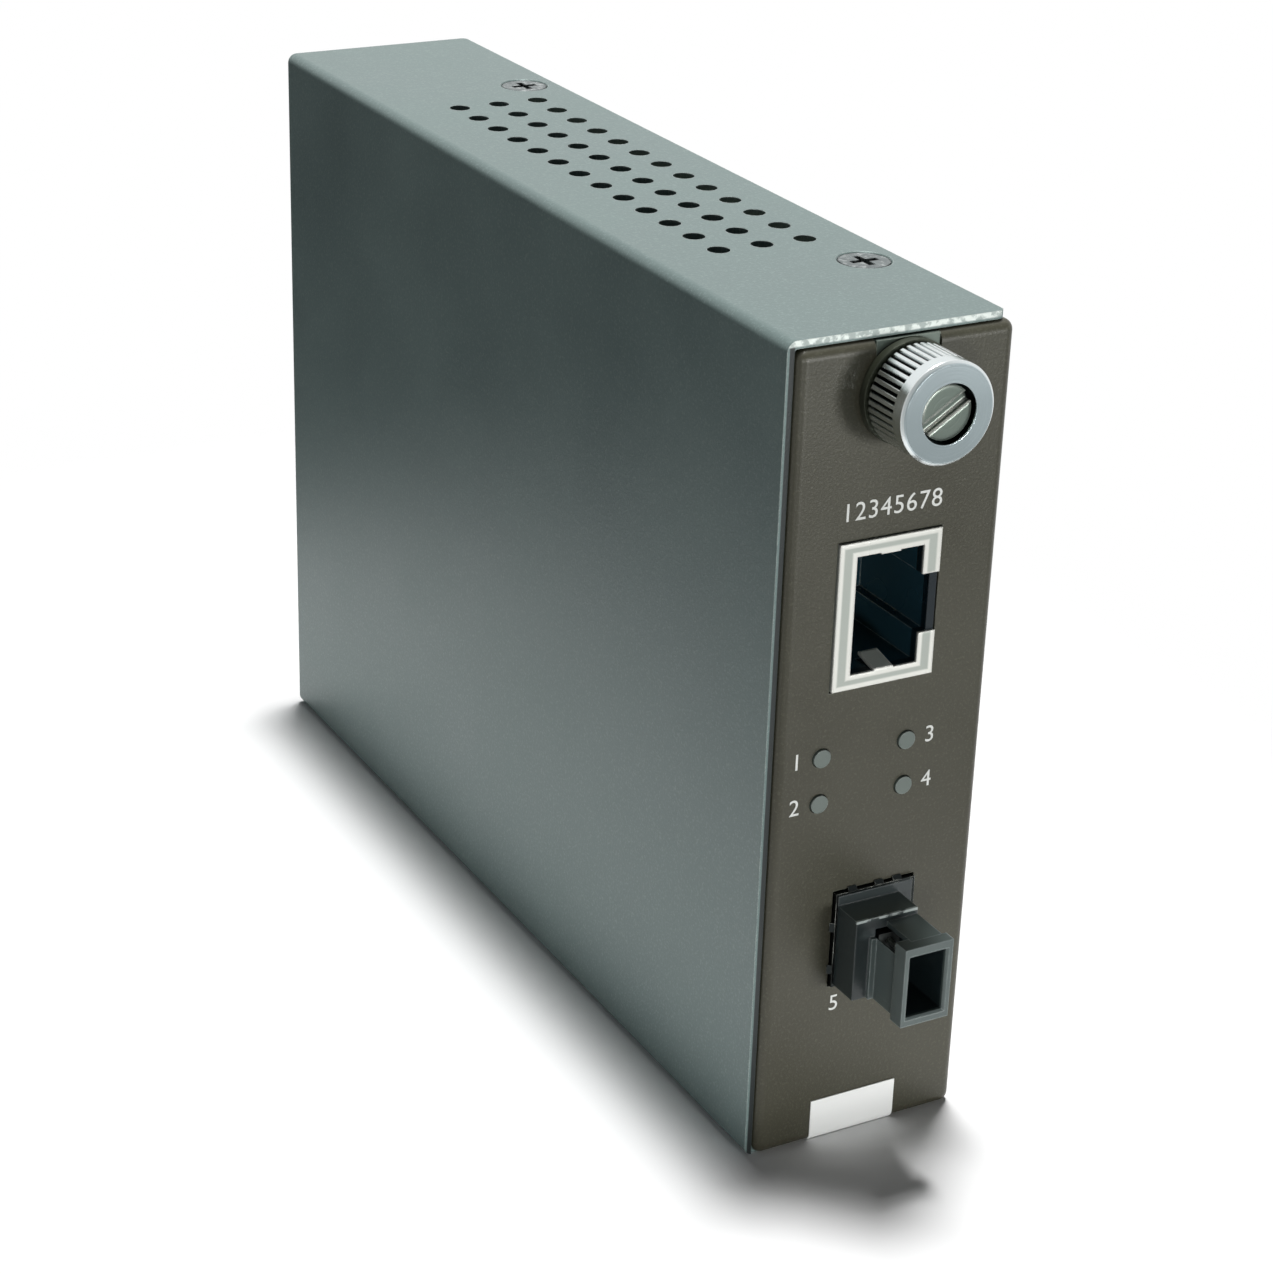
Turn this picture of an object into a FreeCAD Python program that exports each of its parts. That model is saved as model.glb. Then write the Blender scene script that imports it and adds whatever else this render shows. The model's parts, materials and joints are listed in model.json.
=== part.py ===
import FreeCAD, Part
import math
import os

import Sketcher

"""Fibre media converter: a narrow folded-sheet case that stands on its thin edge.

Axes of the finished part: +X across the thin case towards the circuit board, +Y from the front panel to the
rear, +Z up.  The origin is the middle of the bottom face.  Every piece is drawn in case coordinates, measured
from the front, lower corner on the cover's side, and is then moved by half the width and half the depth.
"""

V = FreeCAD.Vector
Rotation = FreeCAD.Rotation
doc = FreeCAD.newDocument("fibre_media_converter")

# Driving dimensions in millimetres: alias, value.
DIMENSIONS = (
    # case
    ("case_width", 25.0),
    ("case_depth", 120.0),
    ("case_height", 88.0),
    ("cover_sheet", 0.8),
    ("chassis_sheet", 0.8),
    ("fold_inside", 0.3),
    ("seam_gap", 0.1),
    ("cover_setback", 0.6),
    ("cover_short", 1.0),
    ("cover_corner", 0.7),
    ("panel_flange", 5.0),
    ("side_flange", 9.5),
    ("relief_slit", 0.8),
    # flat sides of small holes that show, of small holes and posts inside, and of cans and lamps
    ("hole_sides", 12),
    ("inner_sides", 8),
    ("can_sides", 16),
    # vents in the top
    ("vent_radius", 1.15),
    ("vent_pitch", 5.0),
    ("vent_rows", 3),
    ("vent_columns", 13),
    ("vent_first_x", 8.4),
    ("vent_first_y", 27.9),
    # cover screws
    ("cover_screw_inset", 4.9),
    ("cover_screw_first", 19.4),
    ("cover_screw_span", 75.4),
    ("screw_radius", 1.5),
    ("cover_screw_head", 2.7),
    ("cover_screw_sink", 0.08),
    ("cover_screw_length", 5.0),
    ("head_room", 0.1),
    ("thread_room", 0.05),
    ("cross_width", 0.7),
    ("cross_length", 3.0),
    ("cross_depth", 0.6),
    # jack screw
    ("jackscrew_x", 12.9),
    ("jackscrew_top", 6.2),
    ("notch_width", 7.2),
    ("notch_room", 0.1),
    ("retainer_face", 0.2),
    ("retainer_depth", 4.0),
    ("retainer_half", 4.8),
    ("ring_radius", 5.2),
    ("ring_thick", 0.9),
    ("knob_gap", 0.2),
    ("knob_radius", 5.1),
    ("knob_length", 6.1),
    ("knob_band", 1.7),
    ("knob_chamfer", 0.35),
    ("knurl_depth", 0.42),
    ("knurl_half", 0.26),
    ("knurl_count", 42),
    ("knob_recess", 3.0),
    ("knob_recess_depth", 1.6),
    ("shaft_radius", 2.0),
    ("shaft_head", 2.7),
    ("shaft_head_sink", 0.5),
    ("shaft_slot", 1.2),
    ("shaft_slot_depth", 0.7),
    ("shaft_slot_angle", 32.0),
    ("running_room", 0.05),
    ("seat_room", 0.02),
    ("shaft_exit_room", 0.3),
    ("tip_radius", 1.5),
    ("tip_length", 5.4),
    ("tip_start", 0.6),
    ("spring_length", 8.0),
    ("spring_radius", 2.65),
    ("spring_wire", 0.25),
    ("spring_turns", 3.0),
    ("clip_thick", 0.6),
    ("clip_radius", 3.7),
    ("clip_seat", 1.5),
    ("clip_mouth", 2.4),
    # circuit board
    ("board_room", 4.5),
    ("board_thick", 1.6),
    ("board_front", 2.2),
    ("board_rear_gap", 3.0),
    ("board_low", 6.6),
    ("board_top_gap", 13.0),
    ("board_hole", 1.65),
    ("board_hole_inset", 4.5),
    ("standoff_radius", 2.9),
    ("spigot_radius", 2.3),
    ("pan_radius", 2.7),
    ("pan_height", 1.6),
    ("board_screw_reach", 4.6),
    # copper socket
    ("jack_height", 11.5),
    ("jack_width", 15.4),
    ("jack_down", 28.45),
    ("jack_stand", 0.05),
    ("jack_length", 15.8),
    ("jack_proud", 0.3),
    ("jack_can", 0.3),
    ("jack_mouth_low", 1.95),
    ("jack_mouth_high", 1.9),
    ("jack_mouth_width", 12.4),
    ("jack_latch_width", 6.2),
    ("jack_latch_step", 0.9),
    ("jack_cavity", 12.0),
    ("jack_tab_width", 2.2),
    ("jack_tab_drop", 0.5),
    ("jack_tab_length", 3.0),
    ("contact_pitch", 1.02),
    ("contact_width", 0.4),
    ("contact_thick", 0.25),
    ("contact_count", 8),
    ("window_room", 0.15),
    # indicators
    ("light_radius", 0.95),
    ("light_room", 0.08),
    ("light_stand", 2.3),
    ("light_spread", 9.8),
    ("light_drop", 19.7),
    ("light_step", 5.0),
    ("light_proud", 0.25),
    ("light_length", 5.4),
    ("holder_start", 1.3),
    ("holder_end", 5.8),
    ("holder_margin", 1.4),
    ("lead_width", 0.5),
    ("lead_thick", 0.45),
    ("lead_gap", 0.4),
    # fibre port
    ("fibre_stand", 0.1),
    ("fibre_width", 9.6),
    ("fibre_low", 18.4),
    ("fibre_high", 29.4),
    ("collar_sheet", 0.25),
    ("collar_proud", 0.5),
    ("collar_inside", 6.0),
    ("finger_width", 1.0),
    ("finger_inset", 1.5),
    ("block_proud", 4.0),
    ("block_width", 7.2),
    ("block_drop", 1.1),
    ("nose_length", 6.5),
    ("nose_width", 5.6),
    ("nose_height", 8.8),
    ("nose_wall", 0.7),
    ("nose_sill", 0.9),
    ("nose_head", 1.1),
    ("nose_cavity", 11.0),
    ("nose_rim", 1.9),
    ("nose_recess", 0.6),
    ("latch_width", 2.0),
    ("latch_depth", 1.9),
    ("bridge_drop", 0.5),
    ("ferrule_width", 2.5),
    ("ferrule_height", 4.4),
    ("ferrule_length", 3.9),
    ("guide_radius", 0.35),
    ("guide_reach", 1.8),
    ("guide_half", 1.3),
    ("module_height", 9.8),
    ("module_width", 13.6),
    ("module_length", 29.0),
    ("module_bevel", 0.6),
    ("module_pin", 0.5),
    ("module_pin_pitch", 1.78),
    ("module_pin_inset", 1.5),
    ("module_pin_reach", 0.8),
    # power inlet
    ("inlet_z", 22.0),
    ("inlet_stand", 6.5),
    ("inlet_barrel", 3.8),
    ("inlet_bore", 3.15),
    ("inlet_pin", 1.0),
    ("inlet_depth", 10.0),
    ("inlet_width", 9.0),
    ("inlet_length", 14.0),
    ("inlet_proud", 0.8),
    ("inlet_pin_sink", 1.6),
    # packages on the board: deep along it, high up it, rise off it; drop is down from the socket's middle
    ("package_bevel", 0.35),
    ("magnetics_y", 24.0),
    ("magnetics_drop", 6.15),
    ("magnetics_deep", 9.6),
    ("magnetics_high", 12.8),
    ("magnetics_rise", 5.6),
    ("magnetics_lead_step", 1.4),
    ("magnetics_leads", 8),
    ("converter_chip_y", 50.0),
    ("converter_chip_drop", 23.55),
    ("converter_chip_deep", 14.0),
    ("converter_chip_high", 14.0),
    ("converter_chip_rise", 2.0),
    ("chip_lead_step", 1.3),
    ("chip_leads", 9),
    ("chip_lead_width", 0.4),
    ("chip_lead_rise", 0.4),
    ("chip_lead_reach", 1.2),
    ("memory_chip_y", 76.0),
    ("memory_chip_drop", 3.55),
    ("memory_chip_deep", 5.0),
    ("memory_chip_high", 3.9),
    ("memory_chip_rise", 1.5),
    ("crystal_y", 51.0),
    ("crystal_drop", 3.05),
    ("crystal_deep", 11.4),
    ("crystal_high", 4.7),
    ("crystal_rise", 3.6),
    ("inductor_from_rear", 38.0),
    ("inductor_z", 22.0),
    ("inductor_deep", 10.0),
    ("inductor_high", 10.0),
    ("inductor_rise", 4.0),
    ("regulator_from_rear", 25.0),
    ("regulator_z", 30.0),
    ("regulator_deep", 6.5),
    ("regulator_high", 6.1),
    ("regulator_rise", 2.3),
    ("can_radius", 4.0),
    ("can_rise", 10.0),
    ("can_a_from_rear", 23.0),
    ("can_a_z", 46.0),
    ("can_b_from_rear", 13.0),
    ("can_b_z", 38.5),
    # rows of small chip parts
    ("small_deep", 2.0),
    ("small_high", 1.25),
    ("small_rise", 0.8),
    ("small_step", 3.5),
    ("front_row_y", 42.0),
    ("front_row_drop", 17.05),
    ("front_row_count", 5),
    ("middle_row_y", 70.0),
    ("middle_row_drop", 18.55),
    ("middle_row_count", 4),
    ("upper_row_y", 86.0),
    ("upper_row_drop", 2.5),
    ("upper_row_count", 2),
    ("low_row_y", 44.0),
    ("low_row_z", 21.0),
    ("low_row_count", 3),
    # label
    ("label_x", 7.3),
    ("label_width", 10.2),
    ("label_height", 5.0),
    ("label_thick", 0.12),
    ("label_wrap", 55.0),
)


class Size:
    """A number together with the sheet expression that it comes from."""

    def __init__(self, value, text):
        self.value = float(value)
        self.text = text

    def __add__(self, other):
        other = size(other)
        return Size(self.value + other.value, f"({self.text} + {other.text})")

    def __sub__(self, other):
        other = size(other)
        return Size(self.value - other.value, f"({self.text} - {other.text})")

    def __mul__(self, other):
        other = size(other)
        return Size(self.value * other.value, f"({self.text} * {other.text})")

    def __truediv__(self, other):
        other = size(other)
        return Size(self.value / other.value, f"({self.text} / {other.text})")

    def __neg__(self):
        return Size(-self.value, f"(0 - {self.text})")

    def __radd__(self, other):
        return size(other) + self

    def __rsub__(self, other):
        return size(other) - self

    def __rmul__(self, other):
        return size(other) * self


def size(value):
    """Return value as a Size."""
    if isinstance(value, Size):
        return value
    return Size(value, repr(float(value)))


class Dimensions:
    """Every driving dimension as an attribute, bound to its cell."""


sheet = doc.addObject("Spreadsheet::Sheet", "Dims")
D = Dimensions()
for row, (alias, number) in enumerate(DIMENSIONS, start=1):
    sheet.set(f"A{row}", alias)
    sheet.set(f"B{row}", str(number))
    sheet.setAlias(f"B{row}", alias)
    setattr(D, alias, Size(number, f"Dims.{alias}"))
doc.recompute()

ZERO = size(0)
BEYOND = size(1)    # how far a cutting shape runs past the material
NODES = []


# ---------------------------------------------------------------- helpers

def bind(obj, prop, value):
    """Drive one property of obj by an expression."""
    obj.setExpression(prop, size(value).text)


def node(obj, name):
    """Keep obj as a finished piece with its own name."""
    obj.Label = name
    NODES.append((name, obj))
    return obj


def new_body(name):
    """Start a body in case coordinates."""
    body = doc.addObject("PartDesign::Body", name)
    bind(body, "Placement.Base.x", -D.case_width / 2)
    bind(body, "Placement.Base.y", -D.case_depth / 2)
    return node(body, name)


def origin_part(body, role):
    """The body's own origin plane or axis with this role."""
    for item in body.Origin.OriginFeatures:
        if item.Role == role:
            return item
    raise ValueError(role)


# For each drawing plane: its role, the sign of its normal along the case axis, the case axis.
PLANES = {"XY": ("XY_Plane", 1), "XZ": ("XZ_Plane", -1), "YZ": ("YZ_Plane", 1)}


def new_sketch(body, name, plane, level, across=ZERO, up=ZERO):
    """A sketch at one level of a plane, with its own origin moved across and up in that plane."""
    role, sign = PLANES[plane]
    sketch = body.newObject("Sketcher::SketchObject", name)
    sketch.AttachmentSupport = [(origin_part(body, role), "")]
    sketch.MapMode = "FlatFace"
    bind(sketch, "AttachmentOffset.Base.x", across)
    bind(sketch, "AttachmentOffset.Base.y", up)
    bind(sketch, "AttachmentOffset.Base.z", size(level) * sign)
    return sketch


def hold(sketch, held):
    """Hold points of the geometry at driven distances from the sketch's origin.

    Each entry gives the geometry's number, its point, how far across and how far up.
    """
    constraints, texts = [], []
    for geometry, point, across, up in held:
        for kind, value in (("DistanceX", across), ("DistanceY", up)):
            constraints.append(Sketcher.Constraint(kind, -1, 1, geometry, point, value.value))
            texts.append(value.text)
    first = sketch.ConstraintCount
    sketch.addConstraint(constraints)
    for index, text in enumerate(texts, start=first):
        sketch.setExpression(f"Constraints[{index}]", text)


def draw_polygon(sketch, points):
    """A closed outline through driven points."""
    points = [(size(across), size(up)) for across, up in points]
    corners = [V(across.value, up.value, 0) for across, up in points]
    first = sketch.GeometryCount
    count = len(points)
    following = [(i + 1) % count for i in range(count)]
    sketch.addGeometry([Part.LineSegment(corners[i], corners[following[i]]) for i in range(count)], False)
    sketch.addConstraint([Sketcher.Constraint("Coincident", first + i, 2, first + following[i], 1)
                          for i in range(count)])
    hold(sketch, [(first + i, 1, across, up) for i, (across, up) in enumerate(points)])


def draw_rectangle(sketch, left, right, low, high):
    """A driven rectangle."""
    draw_polygon(sketch, ((left, low), (right, low), (right, high), (left, high)))


def draw_circle(sketch, across, up, radius):
    """A driven circle."""
    across, up, radius = size(across), size(up), size(radius)
    index = sketch.addGeometry(Part.Circle(V(across.value, up.value, 0), V(0, 0, 1), radius.value), False)
    hold(sketch, [(index, 3, across, up)])
    held = sketch.addConstraint(Sketcher.Constraint("Radius", index, radius.value))
    sketch.setExpression(f"Constraints[{held}]", radius.text)


def around(radius, sides):
    """The corner radius of a flat-sided round whose sides lie at this radius."""
    return size(radius) * (1 / math.cos(math.pi / sides))


def many_sided(across, up, radius, sides):
    """Outline of a flat-sided round hole that clears the given radius."""
    corner = around(radius, sides)
    points = []
    for i in range(sides):
        angle = 2 * math.pi * (i + 0.5) / sides
        points.append((across + corner * math.cos(angle), up + corner * math.sin(angle)))
    return points


def draw(sketch, outlines):
    """Draw outlines given as rectangles (4 sizes), circles (3 sizes) or lists of points."""
    for outline in outlines:
        if isinstance(outline, list):
            draw_polygon(sketch, outline)
        elif len(outline) == 4:
            draw_rectangle(sketch, *outline)
        else:
            draw_circle(sketch, *outline)


def pad(body, name, plane, low, high, outlines):
    """Add material between two levels of a plane."""
    sketch = new_sketch(body, name + "_sketch", plane, low)
    draw(sketch, outlines)
    feature = body.newObject("PartDesign::Pad", name)
    feature.Profile = sketch
    feature.Reversed = PLANES[plane][1] < 0
    bind(feature, "Length", size(high) - low)
    return feature


def pocket(body, name, plane, low, high, outlines):
    """Take material away between two levels of a plane."""
    sketch = new_sketch(body, name + "_sketch", plane, low)
    draw(sketch, outlines)
    feature = body.newObject("PartDesign::Pocket", name)
    feature.Profile = sketch
    feature.Reversed = PLANES[plane][1] > 0
    bind(feature, "Length", size(high) - low)
    return feature


def turn(body, name, points, plane, level, across, up, axis="H_Axis", kind="Revolution"):
    """Revolve an outline about its sketch's own axis; kind Groove cuts instead."""
    sketch = new_sketch(body, name + "_sketch", plane, level, across, up)
    draw_polygon(sketch, points)
    feature = body.newObject("PartDesign::" + kind, name)
    feature.Profile = sketch
    feature.ReferenceAxis = (sketch, [axis])
    feature.Angle = 360
    return feature


def straight_edges(shape, along, places):
    """Names of the shape's straight edges that run along one axis at any of the given places.

    Each place gives the two other coordinates, in axis order.
    """
    others = [axis for axis in range(3) if axis != along]
    found = []
    for number, edge in enumerate(shape.Edges, start=1):
        if edge.Degenerated or len(edge.Vertexes) != 2:
            continue
        a, b = edge.Vertexes[0].Point, edge.Vertexes[1].Point
        if abs(a.distanceToPoint(b) - edge.Length) > 1e-5:
            continue
        if any(abs(a[axis] - b[axis]) > 1e-5 for axis in others):
            continue
        for place in places:
            if all(abs(a[axis] - size(at).value) < 1e-4 for axis, at in zip(others, place)):
                found.append(f"Edge{number}")
    return found


def dress(body, name, radius, picks, kind="Fillet"):
    """Round or chamfer the body's straight edges picked as (axis, places)."""
    doc.recompute()
    tip = body.Tip
    names = []
    for along, places in picks:
        names += straight_edges(tip.Shape, along, places)
    feature = body.newObject("PartDesign::" + kind, name)
    feature.Base = (tip, names)
    bind(feature, "Radius" if kind == "Fillet" else "Size", radius)
    return feature


def repeat(body, name, feature, role, length, occurrences):
    """A straight row of one feature."""
    pattern = body.newObject("PartDesign::LinearPattern", name)
    pattern.Originals = [feature]
    pattern.Direction = (origin_part(body, role), [""])
    bind(pattern, "Length", length)
    bind(pattern, "Occurrences", occurrences)
    body.Tip = pattern
    return pattern


def box(name, left, right, front, rear, low, high):
    """A plain block in case coordinates."""
    block = doc.addObject("Part::Box", name)
    bind(block, "Length", size(right) - left)
    bind(block, "Width", size(rear) - front)
    bind(block, "Height", size(high) - low)
    bind(block, "Placement.Base.x", size(left) - D.case_width / 2)
    bind(block, "Placement.Base.y", size(front) - D.case_depth / 2)
    bind(block, "Placement.Base.z", low)
    return block


TURNS = {
    "X": Rotation(V(0, 1, 0), 90),
    "Y": Rotation(V(1, 0, 0), -90),
    "Z": Rotation(),
    "-Z": Rotation(V(1, 0, 0), 180),
}


def stand(solid, axis, x, y, z):
    """Turn a round primitive to its axis and set its base."""
    solid.Placement = FreeCAD.Placement(V(), TURNS[axis])
    bind(solid, "Placement.Base.x", size(x) - D.case_width / 2)
    bind(solid, "Placement.Base.y", size(y) - D.case_depth / 2)
    bind(solid, "Placement.Base.z", z)
    return solid


def cylinder(name, axis, x, y, z, radius, length):
    """A cylinder that starts at a point and runs along an axis."""
    solid = doc.addObject("Part::Cylinder", name)
    bind(solid, "Radius", radius)
    bind(solid, "Height", length)
    return stand(solid, axis, x, y, z)


def prism(name, axis, x, y, z, corner_radius, length, sides):
    """A flat-sided post that starts at a point and runs along an axis."""
    solid = doc.addObject("Part::Prism", name)
    solid.Polygon = sides
    bind(solid, "Circumradius", corner_radius)
    bind(solid, "Height", length)
    return stand(solid, axis, x, y, z)


def cone(name, axis, x, y, z, start_radius, end_radius, length):
    """A cut cone that starts at a point and runs along an axis."""
    solid = doc.addObject("Part::Cone", name)
    bind(solid, "Radius1", start_radius)
    bind(solid, "Radius2", end_radius)
    bind(solid, "Height", length)
    return stand(solid, axis, x, y, z)


def fuse(name, parts):
    """One solid from several."""
    joined = doc.addObject("Part::MultiFuse", name)
    joined.Shapes = parts
    return joined


def cut(name, base, tools):
    """A base with one or more tools taken away."""
    result = doc.addObject("Part::Cut", name)
    result.Base = base
    result.Tool = tools[0] if len(tools) == 1 else fuse(name + "_tools", tools)
    return result


def group(name, parts):
    """Several like solids kept as one node."""
    members = doc.addObject("Part::Compound", name)
    members.Links = parts
    return node(members, name)


# ---------------------------------------------------------------- shared levels

TOP = D.case_height
CHASSIS_LEFT = D.cover_sheet + D.seam_gap
CHASSIS_LOW = D.cover_sheet + D.seam_gap
CHASSIS_HIGH = TOP - D.cover_sheet - D.seam_gap
INNER_LEFT = CHASSIS_LEFT + D.chassis_sheet
INNER_RIGHT = D.case_width - D.chassis_sheet
INNER_LOW = CHASSIS_LOW + D.chassis_sheet
INNER_HIGH = CHASSIS_HIGH - D.chassis_sheet
REAR_INNER = D.case_depth - D.chassis_sheet
FOLD_OUTSIDE = D.fold_inside + D.chassis_sheet
COVER_FOLD = D.fold_inside + D.cover_sheet
COVER_EDGE = D.case_width - D.cover_short
CORNER_RELIEF = FOLD_OUTSIDE + D.notch_room

BOARD_BACK = INNER_RIGHT - D.board_room
BOARD_FACE = BOARD_BACK - D.board_thick
BOARD_REAR = D.case_depth - D.board_rear_gap
BOARD_HIGH = TOP - D.board_top_gap
HOLE_SIDES = int(D.hole_sides.value)
INNER_SIDES = int(D.inner_sides.value)
CAN_SIDES = int(D.can_sides.value)
HEXAGON = 6

SCREW_X = D.jackscrew_x
SCREW_Z = TOP - D.jackscrew_top
NOTCH_HALF = D.notch_width / 2
RETAINER_REAR = D.chassis_sheet + D.retainer_depth
KNOB_REAR = -(D.ring_thick + D.knob_gap)
KNOB_FRONT = KNOB_REAR - D.knob_length
CLIP_FRONT = RETAINER_REAR + D.spring_length
EXIT_RADIUS = D.shaft_radius + D.shaft_exit_room

COVER_SCREW_X = D.case_width - D.cover_screw_inset
COVER_SCREW_Y = (D.cover_screw_first, D.cover_screw_first + D.cover_screw_span)

JACK_RIGHT = BOARD_FACE - D.jack_stand
JACK_LEFT = JACK_RIGHT - D.jack_height
JACK_MIDDLE = TOP - D.jack_down
JACK_LOW = JACK_MIDDLE - D.jack_width / 2
JACK_HIGH = JACK_MIDDLE + D.jack_width / 2
JACK_FRONT = -D.jack_proud
JACK_REAR = JACK_FRONT + D.jack_length

FIBRE_RIGHT = BOARD_FACE - D.fibre_stand
FIBRE_LEFT = FIBRE_RIGHT - D.fibre_width
FIBRE_MIDDLE = (D.fibre_low + D.fibre_high) / 2
MODULE_FRONT = D.collar_inside + D.block_proud / 2 + D.seat_room
MODULE_REAR = MODULE_FRONT + D.module_length
MODULE_PINS = [(MODULE_REAR - D.module_pin_pitch * (i + 1),
                FIBRE_MIDDLE + (D.module_width / 2 - D.module_pin_inset) * row)
               for row in (-1, 1) for i in range(5)]

LIGHT_LOW = JACK_MIDDLE - D.light_drop
LIGHT_HIGH = LIGHT_LOW + D.light_step
LIGHT_NEAR = BOARD_FACE - D.light_stand
LIGHT_FAR = LIGHT_NEAR - D.light_spread
LIGHTS = ((LIGHT_NEAR, LIGHT_LOW), (LIGHT_NEAR, LIGHT_HIGH), (LIGHT_FAR, LIGHT_LOW), (LIGHT_FAR, LIGHT_HIGH))
INLET_X = BOARD_FACE - D.inlet_stand
BOARD_HOLES = ((D.board_front + D.board_hole_inset, D.board_low + D.board_hole_inset),
               (BOARD_REAR - D.board_hole_inset, D.board_low + D.board_hole_inset),
               (D.board_front + D.board_hole_inset, BOARD_HIGH - D.board_hole_inset),
               (BOARD_REAR - D.board_hole_inset, BOARD_HIGH - D.board_hole_inset))


# ---------------------------------------------------------------- cover

def make_cover():
    """One folded U: big side, top with vents, bottom; open towards the board side."""
    body = new_body("cover")
    sheet_t = D.cover_sheet
    front, rear = D.cover_setback, D.case_depth - D.cover_setback
    pad(body, "cover_sheet_u", "XZ", front, rear, [[
        (ZERO, ZERO), (COVER_EDGE, ZERO), (COVER_EDGE, sheet_t), (sheet_t, sheet_t),
        (sheet_t, TOP - sheet_t), (COVER_EDGE, TOP - sheet_t), (COVER_EDGE, TOP), (ZERO, TOP)]])
    dress(body, "cover_folds_outside", COVER_FOLD, [(1, [(ZERO, ZERO), (ZERO, TOP)])])
    dress(body, "cover_folds_inside", D.fold_inside, [(1, [(sheet_t, sheet_t), (sheet_t, TOP - sheet_t)])])
    # the bottom stops behind the foot of the front panel
    foot_rear = D.chassis_sheet + D.seam_gap
    pocket(body, "panel_foot_room", "XZ", -BEYOND, foot_rear,
           [(sheet_t, D.case_width + BEYOND, -BEYOND, COVER_FOLD)])
    dress(body, "cover_corners", D.cover_corner,
          [(2, [(COVER_EDGE, front), (COVER_EDGE, foot_rear), (COVER_EDGE, rear)])])
    holes = []
    for i in range(int(D.vent_rows.value)):
        holes.append(many_sided(D.vent_first_x + D.vent_pitch * i, D.vent_first_y, D.vent_radius, HOLE_SIDES))
    first = pocket(body, "vent_row", "XY", TOP - sheet_t * 2, TOP + BEYOND, holes)
    repeat(body, "vents", first, "Y_Axis", D.vent_pitch * (D.vent_columns - 1), D.vent_columns)
    wide = D.cover_screw_head + D.head_room + D.cover_screw_sink
    for i, y in enumerate(COVER_SCREW_Y):
        turn(body, f"top_countersink_{i}", [(ZERO, TOP), (wide, TOP), (wide - sheet_t, TOP - sheet_t),
             (ZERO, TOP - sheet_t)], "XZ", y, COVER_SCREW_X, ZERO, "V_Axis", "Groove")
        turn(body, f"low_countersink_{i}", [(ZERO, ZERO), (ZERO, sheet_t), (wide - sheet_t, sheet_t),
             (wide, ZERO)], "XZ", y, COVER_SCREW_X, ZERO, "V_Axis", "Groove")


# ---------------------------------------------------------------- chassis

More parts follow.
